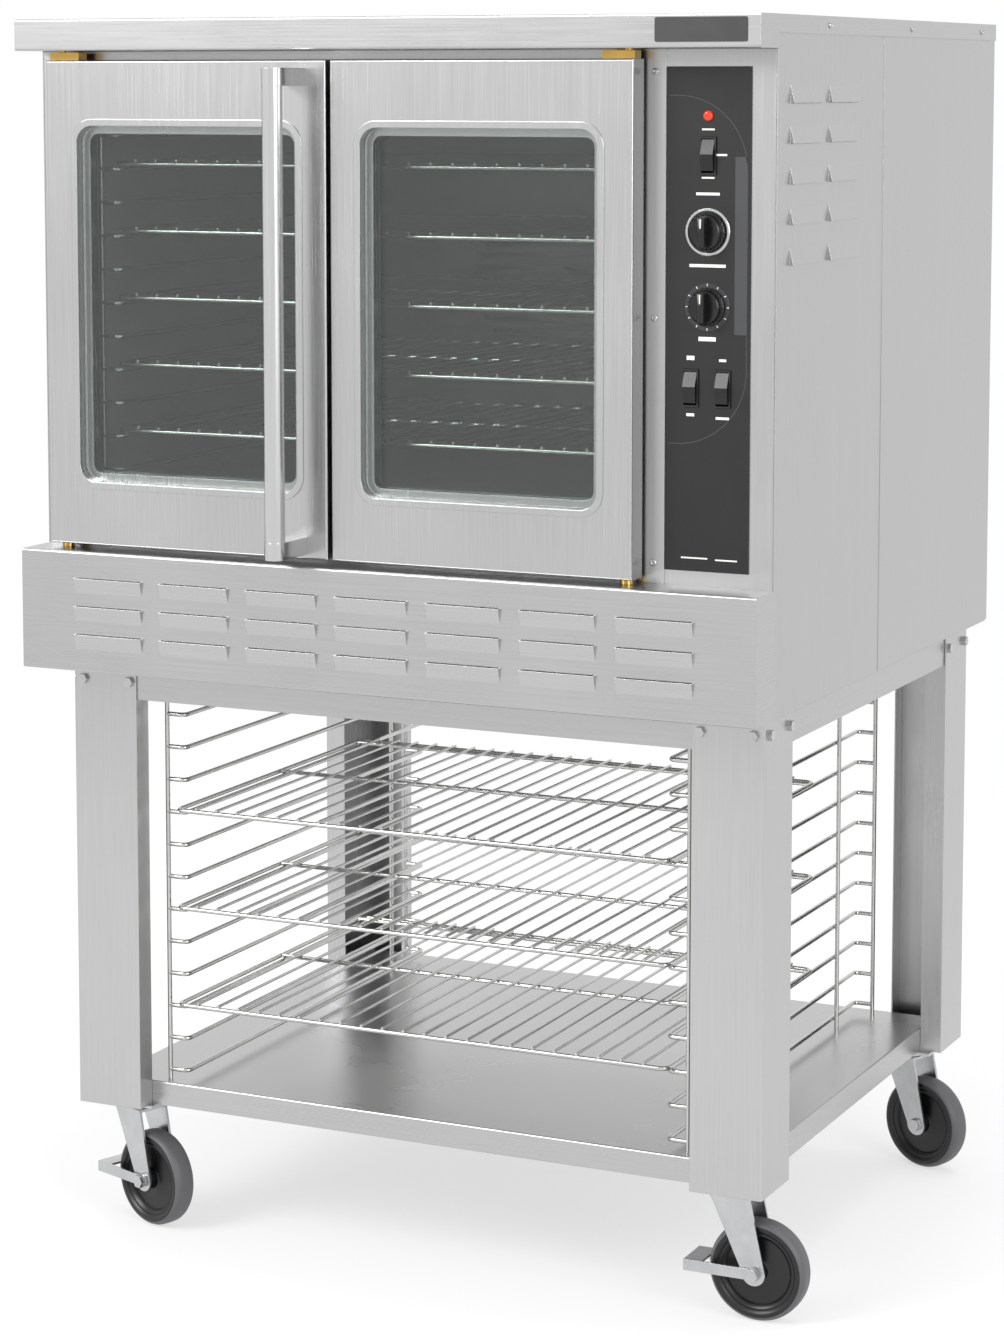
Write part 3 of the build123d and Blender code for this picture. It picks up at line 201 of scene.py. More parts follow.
steelLook = {"cloud": 220, "cloudRise": 300, "grainShade": 0.93, "grainRough": 0.03, "edge": 1.0,
             "bump": 0.06, "bumpDepth": 0.2}
coatLook = {"patch": 60, "bump": 0.4, "patchRough": 0.04}
plateLook = {"edge": 0.6, "patchShade": 0.86}


def brushedSteel(name, colour, roughness, grain, smudge=0.04):
    # AISI 304 sheet, belt-ground: fine straight grain, soft broad reflections, faint handling smudges.
    # The grain is drawn about 2 mm wide, coarser than the real 0.2 mm, or it wouldn't show.
    material, tree = newMaterial(name)
    look = steelLook
    streaks = noise(tree, grain, 3.0, 0.6)
    clouds = noise(tree, (look["cloud"] * mm, look["cloud"] * mm, look["cloudRise"] * mm), 4.0, 0.55)
    light = hexColour(colour)
    grained = twoTone(tree, spread(tree, streaks, 0.0, 1.0), shaded(light, look["grainShade"]), light)
    shade = spread(tree, clouds, 1 - smudge, 1.0)
    grey = addNode(tree, "ShaderNodeCombineColor", links={"Red": shade, "Green": shade, "Blue": shade})
    cloudy = addNode(tree, "ShaderNodeMix", {"data_type": "RGBA", "blend_type": "MULTIPLY", 0: 1.0},
                     {6: grained, 7: grey.outputs["Color"]})
    rough = calc(tree, "ADD",
                 spread(tree, streaks, roughness - look["grainRough"], roughness + look["grainRough"]),
                 spread(tree, clouds, -0.02, 0.03))
    rounded = addNode(tree, "ShaderNodeBevel", {"samples": 4, "Radius": look["edge"] * mm})
    bump = addNode(tree, "ShaderNodeBump", {"Strength": look["bump"], "Distance": look["bumpDepth"] * mm},
                   {"Height": streaks, "Normal": rounded.outputs["Normal"]})
    steel = addNode(tree, "ShaderNodeBsdfPrincipled", {"Metallic": 1.0},
                    {"Base Color": cloudy.outputs[2], "Roughness": rough, "Normal": bump.outputs["Normal"]})
    finishMaterial(tree, steel.outputs[0])
    return material


def coated(name, colour, roughness, grainMm=0.8, depthMm=0.05, metallic=0.0, vary=0.12, extra=None):
    # paint, enamel, plastic or rubber: an even colour with a fine texture and slight unevenness
    material, tree = newMaterial(name)
    look = coatLook
    grain = noise(tree, (grainMm * mm,) * 3, 2.0)
    patches = noise(tree, (look["patch"] * mm,) * 3, 5.0, 0.6)
    base = hexColour(colour)
    mixed = twoTone(tree, spread(tree, patches, 0.0, 1.0), shaded(base, 1 - vary), base)
    bump = addNode(tree, "ShaderNodeBump", {"Strength": look["bump"], "Distance": depthMm * mm},
                   {"Height": grain})
    rough = spread(tree, patches, roughness - look["patchRough"], roughness + look["patchRough"])
    skin = addNode(tree, "ShaderNodeBsdfPrincipled", {"Metallic": metallic, **(extra or {})},
                   {"Base Color": mixed, "Normal": bump.outputs["Normal"], "Roughness": rough})
    finishMaterial(tree, skin.outputs[0])
    return material


def platedMetal(name, colour, roughness, patchMm=30):
    # zinc, nickel or chrome plate: bright, slightly cloudy metal
    material, tree = newMaterial(name)
    patches = noise(tree, (patchMm * mm,) * 3, 4.0, 0.6)
    base = hexColour(colour)
    mixed = twoTone(tree, spread(tree, patches, 0.0, 1.0), shaded(base, plateLook["patchShade"]), base)
    rounded = addNode(tree, "ShaderNodeBevel", {"samples": 4, "Radius": plateLook["edge"] * mm})
    metal = addNode(tree, "ShaderNodeBsdfPrincipled", {"Metallic": 1.0},
                    {"Base Color": mixed, "Normal": rounded.outputs["Normal"],
                     "Roughness": spread(tree, patches, roughness + 0.05, roughness - 0.03)})
    finishMaterial(tree, metal.outputs[0])
    return material


def temperedGlass(name, colour):
    # float glass, tempered: clear, flat and smooth; daylight passes it, so shadows are let through
    material, tree = newMaterial(name)
    pane = addNode(tree, "ShaderNodeBsdfPrincipled",
                   {"Base Color": hexColour(colour), "Roughness": 0.02, "IOR": 1.45,
                    "Transmission Weight": 1.0})
    clear = addNode(tree, "ShaderNodeBsdfTransparent", {"Color": hexColour(colour)})
    rays = addNode(tree, "ShaderNodeLightPath").outputs
    passing = calc(tree, "MAXIMUM", rays["Is Shadow Ray"], rays["Is Diffuse Ray"])
    both = addNode(tree, "ShaderNodeMixShader", links={0: passing, 1: pane.outputs[0], 2: clear.outputs[0]})
    finishMaterial(tree, both.outputs[0])
    return material


# ground sheet and tube: the grain runs up the doors, walls and legs, and across the bands
grainUp = (2 * mm, 2 * mm, 160 * mm)
grainAcross = (160 * mm, 160 * mm, 2 * mm)
# the four sheet steels are one stainless in lit and shaded copies: painted light and shade make the doors
# lightest, the stand next, the casing and bands a step darker
steelFront = brushedSteel("brushedStainlessDoor", "#C3C3C3", 0.24, grainUp)
steelCase = brushedSteel("brushedStainlessCasing", "#BDBDBD", 0.30, grainUp)
steelBand = brushedSteel("brushedStainlessBand", "#BEBEBE", 0.28, grainAcross)
steelStand = brushedSteel("brushedStainlessStand", "#C2C2C2", 0.30, grainUp)
steelHandle = brushedSteel("polishedStainlessTube", "#CFCFCF", 0.18, grainUp, smudge=0.02)
# plated and turned metal: duller on sheet, bright on wire, brass and screws
galvanised = platedMetal("galvanisedSheet", "#9EA0A2", 0.38, 18)
zincPlate = platedMetal("zincPlatedSteel", "#C6C7C8", 0.24)
wireNickel = platedMetal("nickelPlatedWire", "#C9C9C7", 0.16)
turnedBrass = platedMetal("turnedBrass", "#C9A45A", 0.22)
screwSteel = platedMetal("stainlessScrew", "#B9B9B9", 0.22, 4)
ringMetal = platedMetal("turnedAluminiumRing", "#C4C5C6", 0.25, 6)
# inside and behind: glossy grey enamel, matt fibre, rubber, motor paint and rough iron
enamel = coated("vitreousEnamel", "#77787A", 0.32, 1.2, 0.08, extra={"Coat Weight": 0.3})
wool = coated("mineralWool", "#C9BF9C", 0.9, 6, 2.0)
silicone = coated("siliconeSeal", "#2B2B2B", 0.55)
motorPaint = coated("motorEnamelPaint", "#1D1E20", 0.4)
castIron = coated("castIronBurner", "#3A3837", 0.7, 2.0, 0.3, metallic=0.6)
# controls: satin black panel and frames, glossier knobs, grey dial and plate, flat printed marks
panelBlack = coated("powderCoatBlack", "#101010", 0.42, 0.6, 0.04)
plasticBlack = coated("mouldedPhenolicBlack", "#0E0E0E", 0.28, 0.5, 0.02)
plasticSatin = coated("mouldedNylonBlack", "#151515", 0.45, 0.5, 0.04)
dialGrey = coated("anodisedDialGrey", "#3E3F41", 0.4, 0.5, 0.02, metallic=0.5)
plateGrey = coated("anodisedPlateGrey", "#4A4A4A", 0.38, 0.5, 0.02, metallic=0.6)
whiteInk = coated("screenPrintedWhite", "#E8E8E4", 0.5, 0.4, 0.01, vary=0.05)
greyInk = coated("screenPrintedGrey", "#3C3D3E", 0.45, 0.4, 0.01, vary=0.05)
redLens = coated("tintedAcrylicRed", "#D8391F", 0.15, 0.8, 0.02,
                 extra={"Emission Color": hexColour("#FF3A1C"), "Emission Strength": 0.15})
# caster wheels: near-black sides and core, the tread coloured mid grey as a painted highlight for the light
# that falls on it
tyreSide = coated("mouldedRubberSide", "#101011", 0.38, 1.0, 0.05)
tyreTreadPaintedLight = coated("mouldedRubberTreadPaintedLight", "#5A5A5C", 0.5, 1.0, 0.08)
wheelCore = coated("mouldedPolyolefinCore", "#0F0F10", 0.35, 0.8, 0.04)
clearGlass = temperedGlass("temperedGlass", "#E4E8E6")
print("materials made")

paint(steelFront, "left_door_shell", "right_door_shell", "left_window_frame", "right_window_frame")
paint(steelCase, "side_panels", "front_frame", "base_pan", "back_panel", "left_door_liner",
      "right_door_liner")
paint(steelBand, "top_cap", "lower_front_panel", "stand_top_frame", "bottom_shelf")
paint(steelStand, "stand_legs")
paint(steelHandle, "door_handle")
paint(galvanised, "motor_cover", "exhaust_vent", "control_housing", "blower_wheel")
paint(zincPlate, "caster_plates", "stand_bolts", "brake_lever_front_left", "brake_lever_front_right",
      *["caster_fork_" + place for place in casterPlaces])
paint(wireNickel, "oven_rack_guides", "stand_rack_guide_left", "stand_rack_guide_right", "oven_racks",
      "stand_rack_upper", "stand_rack_middle", "stand_rack_lower")
paint(enamel, "cavity_liner", "fan_baffle")
paint(wool, "insulation")
paint(silicone, "door_gasket")
paint(motorPaint, "fan_motor")
paint(castIron, "gas_burners", "door_chain")
paint(panelBlack, "control_panel")
paint(plasticSatin, "power_inlet", "control_bezels")
paint(plasticBlack, "rocker_upper", "rocker_left", "rocker_right", "thermostat_knob", "timer_knob")
paint(plateGrey, "nameplate")
paint(redLens, "indicator_lamp")
paint(clearGlass, "left_door_glass", "right_door_glass")
paint(turnedBrass, "left_hinge_pins", "right_hinge_pins")
paint(tyreSide, *["caster_wheel_" + place for place in casterPlaces])
print("CAD nodes painted")


# geometry nodes: repeats that are laid out by rule

def newGroup(name, inputs):
    group = bpy.data.node_groups.new(name, "GeometryNodeTree")
    for label, kind in inputs.items():
        group.interface.new_socket(name=label, in_out="INPUT", socket_type="NodeSocket" + kind)
    group.interface.new_socket(name="Geometry", in_out="OUTPUT", socket_type="NodeSocketGeometry")
    return group, addNode(group, "NodeGroupInput").outputs


def closeGroup(group, geometry, material):
    real = addNode(group, "GeometryNodeRealizeInstances", links={"Geometry": geometry})
    coloured = addNode(group, "GeometryNodeSetMaterial",
                       links={"Geometry": real.outputs["Geometry"], "Material": material})
    addNode(group, "NodeGroupOutput", links={"Geometry": coloured.outputs["Geometry"]})


def growMesh(name, points, group, values):
    # runs a group on bare points and keeps the result as one plain mesh
    seed = bpy.data.meshes.new(name + "Points")
    seed.from_pydata([tuple(point) for point in points], [], [])
    host = bpy.data.objects.new(name, seed)
    scene.collection.objects.link(host)
    modifier = host.modifiers.new(name, "NODES")
    modifier.node_group = group
    for item in group.interface.items_tree:
        if item.item_type == "SOCKET" and item.in_out == "INPUT" and item.name in values:
            modifier[item.identifier] = values[item.name]
    host.update_tag()
    bpy.context.view_layer.update()
    mesh = bpy.data.meshes.new_from_object(host.evaluated_get(bpy.context.evaluated_depsgraph_get()))
    bpy.data.objects.remove(host)
    markSharp(mesh)
    return mesh


# wire racks

rackWire = {"rim": 3.0, "bar": 2.0, "corner": 12, "pitch": 30.348, "barShort": 1}
rackCounts = {"bars": 22, "rimSides": 14, "wireSides": 12, "cornerSteps": 6}
weldSink = 0.7      # height of a bar's axis over the rim, as a share of the bar's radius
ovenRack = {"levels": 5, "middleWire": 265, "rearWire": 527}
standRack = {"levels": 1, "middleWire": 285, "rearWire": 515}


def makeRackGroup():
    group, given = newGroup("wireRack", {
        "Geometry": "Geometry", "Width": "Float", "Depth": "Float", "Rim Radius": "Float",
        "Bar Radius": "Float", "Bar Count": "Int", "Bar Pitch": "Float", "Corner": "Float",
        "Middle Wire": "Float", "Rear Wire": "Float", "Material": "Material"})

    def point(**parts):
        return addNode(group, "ShaderNodeCombineXYZ", links=parts).outputs[0]

    def turned(geometry, place, rotation=(0, 0, 0)):
        return addNode(group, "GeometryNodeTransform", {"Rotation": rotation},
                       {"Geometry": geometry, "Translation": place}).outputs["Geometry"]

    rim = given["Rim Radius"]
    rimThick = calc(group, "MULTIPLY", rim, 2)
    innerWidth = calc(group, "SUBTRACT", given["Width"], rimThick)
    middleDepth = calc(group, "MULTIPLY", given["Depth"], 0.5)
    outline = addNode(group, "GeometryNodeCurvePrimitiveQuadrilateral", links={
        "Width": innerWidth, "Height": calc(group, "SUBTRACT", given["Depth"], rimThick)})
    bent = addNode(group, "GeometryNodeFilletCurve", {"mode": "POLY", "Count": rackCounts["cornerSteps"]},
                   {"Curve": outline.outputs[0], "Radius": given["Corner"]})
    section = addNode(group, "GeometryNodeCurvePrimitiveCircle",
                      {"mode": "RADIUS", "Resolution": rackCounts["rimSides"]}, {"Radius": rim})
    frameWire = addNode(group, "GeometryNodeCurveToMesh",
                        links={"Curve": bent.outputs[0], "Profile Curve": section.outputs[0]})
    pieces = [turned(frameWire.outputs[0], point(Y=middleDepth, Z=rim))]

    # straight bars from front to back, welded on top of the rim
    bar = addNode(group, "GeometryNodeMeshCylinder", {"Vertices": rackCounts["wireSides"]},
                  {"Radius": given["Bar Radius"],
                   "Depth": calc(group, "SUBTRACT", given["Depth"], rackWire["barShort"] * mm)})
    barHeight = calc(group, "ADD", rimThick, calc(group, "MULTIPLY", given["Bar Radius"], weldSink))
    halfCount = calc(group, "MULTIPLY", calc(group, "SUBTRACT", given["Bar Count"], 1), -0.5)
    firstBar = calc(group, "MULTIPLY", halfCount, given["Bar Pitch"])
    row = addNode(group, "GeometryNodeMeshLine", {"mode": "OFFSET"},
                  {"Count": given["Bar Count"], "Offset": point(X=given["Bar Pitch"]),
                   "Start Location": point(X=firstBar, Y=middleDepth, Z=barHeight)})
    bars = addNode(group, "GeometryNodeInstanceOnPoints", {"Rotation": (math.pi / 2, 0, 0)},
                   {"Points": row.outputs["Mesh"], "Instance": bar.outputs["Mesh"]})
    pieces.append(bars.outputs["Instances"])

    # wires across, under the bars
    across = addNode(group, "GeometryNodeMeshCylinder", {"Vertices": rackCounts["wireSides"]},
                     {"Radius": rim, "Depth": innerWidth})
    for place in (given["Middle Wire"], given["Rear Wire"]):
        pieces.append(turned(across.outputs["Mesh"], point(Y=place, Z=rim), (0, math.pi / 2, 0)))

    rack = addNode(group, "GeometryNodeJoinGeometry", links={"Geometry": pieces})
    racks = addNode(group, "GeometryNodeInstanceOnPoints",
                    links={"Points": given["Geometry"], "Instance": rack.outputs["Geometry"]})
    closeGroup(group, racks.outputs["Instances"], given["Material"])
    return group


def makeRacks(name, node, body, group, rack):
    low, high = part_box(node)
    rise = (high.z - low.z - 2 * rackWire["rim"] * mm) / max(rack["levels"] - 1, 1)
    spots = [((low.x + high.x) / 2, low.y, low.z + level * rise) for level in range(rack["levels"])]
    mesh = growMesh(name, spots, group, {
        "Width": high.x - low.x, "Depth": high.y - low.y, "Rim Radius": rackWire["rim"] * mm,
        "Bar Radius": rackWire["bar"] * mm, "Bar Count": rackCounts["bars"],
        "Bar Pitch": rackWire["pitch"] * mm, "Corner": rackWire["corner"] * mm,
        "Middle Wire": rack["middleWire"] * mm, "Rear Wire": rack["rearWire"] * mm,
        "Material": wireNickel})
    addPiece(name, mesh, body, stands=(node,))


rackGroup = makeRackGroup()
makeRacks("ovenWireRacks", "oven_racks", root, rackGroup, ovenRack)
for level in ("upper", "middle", "lower"):
    makeRacks(level + "WireRack", "stand_rack_" + level, level + "_rack", rackGroup, standRack)
print("wire racks grown")


# casters

wheel = {"radius": 63.5, "halfWidth": 16, "shoulder": 59, "core": 48, "coreHalf": 13.2, "web": 7.5,
         "hub": 13, "hubHalf": 19.5, "bore": 6.06}
wheelSteps = 72


def wheelProfile():
    # one side in millimetres, from the bore over hub, core and tyre to the crown, and its mirror image
    w = wheel
    hub = [(w["bore"], w["hubHalf"]), (w["hub"], w["hubHalf"]),
           (w["hub"] + 1, w["web"] + 2), (w["hub"] + 4, w["web"])]
    core = [(w["core"] - 6, w["web"]), (w["core"] - 3, w["coreHalf"] - 1),
            (w["core"] - 1, w["coreHalf"]), (w["core"] + 1.5, w["coreHalf"] - 0.6)]
    tyre = [(w["core"] + 4, w["halfWidth"] - 0.6), (w["core"] + 6, w["halfWidth"]),
            (w["shoulder"] - 1, w["halfWidth"] - 0.4), (w["shoulder"] + 1, w["halfWidth"] - 1.6)]
    crown = [(w["radius"] - 1.6, w["halfWidth"] - 4), (w["radius"] - 0.4, w["halfWidth"] - 7),
             (w["radius"], w["halfWidth"] - 11)]
    side = hub + core + tyre + crown
    return [(r * mm, a * mm) for r, a in side + [(r, -a) for r, a in reversed(side)]]


def makeWheel(corner):
    roll = joints[corner + "_roll"]
    matrix = axisFrame(roll["pos_m"], roll["axis"])
    coreEdge, treadEdge = wheel["core"] * mm, (wheel["shoulder"] - 1) * mm

    def build(shape):
        spinProfile(shape, wheelProfile(), matrix, wheelSteps)
        for face in shape.faces:
            local = matrix.inverted() @ face.calc_center_median()
            reach = math.hypot(local.x, local.y)
            # faces past the shoulder take the tread's lighter grey, a painted highlight
            face.material_index = 1 if reach < coreEdge else (2 if reach > treadEdge else 0)

    mesh = meshFrom(corner + "Wheel", build)
    for material in (tyreSide, wheelCore, tyreTreadPaintedLight):
        mesh.materials.append(material)
    markSharp(mesh, 40)
    addPiece(corner + "Wheel", mesh, corner + "_wheel", stands=("caster_wheel_" + corner,))


for corner in casterPlaces:
    makeWheel(corner)
print("wheels turned")


# knobs

knob = {"skirt": 23.2, "skirtHeight": 4, "body": 19.6, "top": 18.6, "height": 24, "grip": 4.3,
        "dish": 1.4, "fluteDepth": 0.7, "hole": 3.2, "shaft": 3, "shaftCore": 0.5, "pointer": 1.4,
        "pointerStart": 5, "pointerEnd": 2.6, "pointerRise": 0.15, "pointerSink": 0.3}
knobCounts = {"flutes": 24, "fluteSteps": 4, "drumSteps": 64, "shaftSteps": 24, "gripSteps": 10}
gripTurn = 24       # half the angle that a rounded end of the grip covers


def addSkirt(shape, k, matrix):
    # a disc with a fluted edge, its section in shares of the radius and the height
    section = [(1.0, 0.0), (1.0, 0.62), (0.965, 0.9), (0.93, 1.0)]
    flutes = knobCounts["flutes"]
    count = flutes * knobCounts["fluteSteps"]
    rings = []
    for step in range(count):
        angle = 2 * math.pi * step / count
        notch = k["fluteDepth"] * (0.5 - 0.5 * math.cos(flutes * angle))
        points = [(k["hole"], 0.0)] + [(k["skirt"] * r - notch, k["skirtHeight"] * a) for r, a in section]
        rings.append([shape.verts.new(matrix @ Vector((r * math.cos(angle), r * math.sin(angle), a)))
                      for r, a in points])
    for here, there in zip(rings, rings[1:] + rings[:1]):
        for i in range(len(section)):
            shape.faces.new((here[i], there[i], there[i + 1], here[i + 1]))


def addDrum(shape, k, matrix):
    # the round body behind the grip, with a slightly dished face
    drum = [(k["hole"], k["skirtHeight"] * 0.5), (k["body"] + 2 * mm, k["skirtHeight"] * 0.8),
            (k["body"], k["skirtHeight"] + 1.2 * mm), (k["body"] - 0.6 * mm, k["height"] * 0.46),
            (k["body"] - 1.6 * mm, k["height"] * 0.5), (k["hole"], k["height"] * 0.5 - k["dish"])]
    spinProfile(shape, drum, matrix, knobCounts["drumSteps"])


def addGrip(shape, k, matrix):
    # a bar with rounded ends that narrows towards its crest: height, half length and width of each layer
    layers = [(k["height"] * 0.4, k["top"] + 0.6 * mm, 1.25), (k["height"] * 0.7, k["top"], 1.08),
              (k["height"] - 1.2 * mm, k["top"] - 0.6 * mm, 1.0), (k["height"], k["top"] - 2 * mm, 0.8)]
    steps = knobCounts["gripSteps"]
    angles = [math.radians(-gripTurn + 2 * gripTurn * step / steps) for step in range(steps + 1)]
    outline = [(sign * math.sin(angle), sign * math.cos(angle)) for sign in (1, -1) for angle in angles]
    loops = []
    for height, reach, share in layers:
        half = k["grip"] * share
        loops.append([shape.verts.new(matrix @ Vector((max(-half, min(half, x * reach)), y * reach, height)))
                      for x, y in outline])
    for lower, upper in zip(loops[:-1], loops[1:]):
        for i in range(len(lower)):
            j = (i + 1) % len(lower)
            shape.faces.new((lower[i], lower[j], upper[j], upper[i]))
    shape.faces.new(loops[-1])
    shape.faces.new(list(reversed(loops[0])))


def makeKnob(name, node, body):
    k = inMetres(knob)
    low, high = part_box(node)
    centre = Vector(joints[body + "_turn"]["pos_m"])
    front, back = low.y, low.y + k["height"]
    matrix = axisFrame((centre.x, back, centre.z), (0, -1, 0))

    def build(shape):
        addSkirt(shape, k, matrix)
        addDrum(shape, k, matrix)
        addGrip(shape, k, matrix)
        # the shaft that reaches through the panel
        shaft = [(k["shaftCore"], back - high.y), (k["shaft"], back - high.y),
                 (k["shaft"], k["skirtHeight"]), (k["shaftCore"], k["skirtHeight"])]
        spinProfile(shape, shaft, matrix, knobCounts["shaftSteps"])

    def mark(shape):
        addBlock(shape, (centre.x - k["pointer"] / 2, front - k["pointerRise"], centre.z + k["pointerStart"]),
                 (centre.x + k["pointer"] / 2, front + k["pointerSink"],
                  centre.z + k["top"] - k["pointerEnd"]))

    mesh = meshFrom(name, build)
    mesh.materials.append(plasticBlack)
    markSharp(mesh, 40)
    addPiece(name, mesh, body, stands=(node,))
    addPiece(name + "Pointer", meshFrom(name + "Pointer", mark), body, whiteInk)


makeKnob("thermostatKnob", "thermostat_knob", "thermostat")
makeKnob("timerKnob", "timer_knob", "timer")


# ring, scale and switch frames on the control panel

bezel = {"outer": 28.5, "inner": 24.6, "rise": 1.5, "seat": 0.05, "scaleHole": 3.4, "scaleRise": 0.6,
         "switchHalfWidth": 8.4, "switchHalfHeight": 20.4, "frameWall": 2.0, "frameRise": 2.0,
         "frameDepth": 16.0, "frameBack": 1.0}
bezelSteps = 96
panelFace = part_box("control_panel")[0].y
warm = joints["thermostat_turn"]["pos_m"]
clock = joints["timer_turn"]["pos_m"]


def makeDisc(name, centre, profile, material):
    matrix = axisFrame((centre[0], panelFace, centre[2]), (0, -1, 0))
    disc = meshFrom(name, lambda shape: spinProfile(shape, profile, matrix, bezelSteps))
    markSharp(disc, 30)
    addPiece(name, disc, root, material, ("control_bezels",))


def makeBezels():
    b = inMetres(bezel)
    makeDisc("thermostatRing", warm,
             [(b["inner"], b["seat"]), (b["inner"], b["rise"] * 0.7), (b["inner"] + 0.7 * mm, b["rise"]),
              (b["outer"] - 0.9 * mm, b["rise"]), (b["outer"], b["rise"] * 0.5), (b["outer"], b["seat"])],
             ringMetal)
    makeDisc("timerScale", clock,
             [(b["scaleHole"], b["seat"]), (b["scaleHole"], b["scaleRise"]),
              (b["outer"] - 0.3 * mm, b["scaleRise"]), (b["outer"], b["scaleRise"] * 0.6),
              (b["outer"], b["seat"])],
             dialGrey)

    def frames(shape):
        innerX, innerZ = b["switchHalfWidth"], b["switchHalfHeight"]
        outerX, outerZ = innerX + b["frameWall"], innerZ + b["frameWall"]
        front, back = panelFace - b["frameRise"], panelFace + b["frameDepth"]
        walls = [(-outerX, -innerX, -outerZ, outerZ, front), (innerX, outerX, -outerZ, outerZ, front),
                 (-innerX, innerX, -outerZ, -innerZ, front), (-innerX, innerX, innerZ, outerZ, front),
                 (-outerX, outerX, -outerZ, outerZ, back - b["frameBack"])]
        for switch in ("upper", "left", "right"):
            x, _, z = joints[switch + "_switch_tilt"]["pos_m"]
            for x0, x1, z0, z1, start in walls:
                addBlock(shape, (x + x0, start, z + z0), (x + x1, back, z + z1))

    addPiece("switchFrames", meshFrom("switchFrames", frames), root, plasticSatin,
             ("control_bezels",))


makeBezels()


# printed marks on the panel: plain bars, ticks and a thin border line, without any words.
# A bar is (distance from the knobs' middle line, height above the floor, width, height).

marks = {"thick": 0.12, "sink": 0.02, "tickIn": 25.0, "tickOut": 27.8, "tickWidth": 1.0, "tickLift": 0.08}
tickCount = 12
whiteBars = ((0, 1396, 30, 3.2), (0, 1311, 46, 3.6), (0, 1224, 22, 5), (17, 1442, 14, 2.4),
             (0, 1472, 16, 2), (0, 1415, 16, 2), (-21, 1201, 10, 5), (-21, 1133, 10, 3.5),
             (20, 1199, 9, 3), (20, 1130, 17, 3), (-15, 961, 34, 1.8), (26, 960, 28, 1.8))
blankStrip = (42, 1335, 15, 210)
border = {"left": 3, "right": 4, "top": 1512, "bottom": 1098, "radius": 88, "line": 1.0}
borderSteps = 24


def makeMarks():
    m, edge = inMetres(marks), inMetres(border)
    low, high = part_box("control_panel")
    front = panelFace - m["thick"]

    def bar(shape, x, z, width, height):
        addBlock(shape, (warm[0] + (x - width / 2) * mm, front, (z - height / 2) * mm),
                 (warm[0] + (x + width / 2) * mm, panelFace + m["sink"], (z + height / 2) * mm))

    def white(shape):
        for place in whiteBars:
            bar(shape, *place)
        centre = Vector((clock[0], 0, clock[2]))
        face = panelFace - bezel["scaleRise"] * mm - m["tickLift"]
        for step in range(tickCount):
            angle = 2 * math.pi * step / tickCount
            along = Vector((math.sin(angle), 0, math.cos(angle)))
            side = Vector((math.cos(angle), 0, -math.sin(angle))) * m["tickWidth"] / 2
            inner, outer = centre + along * m["tickIn"], centre + along * m["tickOut"]
            shape.faces.new([shape.verts.new((c.x, face, c.z))
                             for c in (inner - side, inner + side, outer + side, outer - side)])

    def arc(x, z, start):
        angles = [math.radians(start - 90 * step / borderSteps) for step in range(borderSteps + 1)]
        return [(x + edge["radius"] * math.cos(angle), z + edge["radius"] * math.sin(angle))
                for angle in angles]

    def grey(shape):
        # a border line that bows out to the panel's right edge, and a blank strip
        left, right = low.x + edge["left"], high.x - edge["right"]
        path = [(left, edge["top"]), *arc(right - edge["radius"], edge["top"] - edge["radius"], 90),
                *arc(right - edge["radius"], edge["bottom"] + edge["radius"], 0), (left, edge["bottom"])]
        half = edge["line"] / 2
        inside, outside = [], []
        for i, (x, z) in enumerate(path):
            before, after = path[max(i - 1, 0)], path[min(i + 1, len(path) - 1)]
            run = Vector((after[0] - before[0], after[1] - before[1])).normalized()
            inside.append(shape.verts.new((x + run.y * half, front, z - run.x * half)))
            outside.append(shape.verts.new((x - run.y * half, front, z + run.x * half)))
        for i in range(len(path) - 1):
            shape.faces.new((inside[i], inside[i + 1], outside[i + 1], outside[i]))
        bar(shape, *blankStrip)

    addPiece("panelMarks", meshFrom("panelMarks", white), root, whiteInk)
    addPiece("panelBorder", meshFrom("panelBorder", grey), root, greyInk)


makeMarks()
print("controls made")


# screws

screw = {"radius": 4.2, "rise": 2.0, "recess": 2.2, "depth": 0.8, "tip": 0.05}
screwSteps = 20
screwPlaces = {"capDrop": 11, "capBack": (235.5, 548.5, 850), "stileInset": 156,
               "stileUp": (1247, 952, 1540), "backInset": 14, "backFirst": 40, "backPitch": 178,
               "coverInset": 9, "coverLip": 1.5, "coverUp": (30, 200, 370)}
backRows = 5


def makeScrewHead():
    s = inMetres(screw)
    profile = [(s["tip"], 0), (s["radius"], 0), (s["radius"], s["rise"] * 0.35),
               (s["radius"] * 0.86, s["rise"] * 0.75), (s["radius"] * 0.6, s["rise"] * 0.95),
               (s["recess"], s["rise"]), (s["recess"] * 0.7, s["rise"] - s["depth"]),
               (s["tip"], s["rise"] - s["depth"])]
    mesh = meshFrom("screwHead", lambda shape: spinProfile(shape, profile, Matrix.Identity(4), screwSteps))
    markSharp(mesh, 45)
    head = bpy.data.objects.new("screwHead", mesh)
    scene.collection.objects.link(head)
    return head


def makeScrewGroup():
    group, given = newGroup("screwRow", {"Geometry": "Geometry", "Head": "Object", "Turn": "Vector",
                                         "Material": "Material"})
    head = addNode(group, "GeometryNodeObjectInfo", {"transform_space": "ORIGINAL"},
                   {"Object": given["Head"]})
    rows = addNode(group, "GeometryNodeInstanceOnPoints",
                   links={"Points": given["Geometry"], "Instance": head.outputs["Geometry"],
                          "Rotation": given["Turn"]})
    closeGroup(group, rows.outputs["Instances"], given["Material"])
    return group


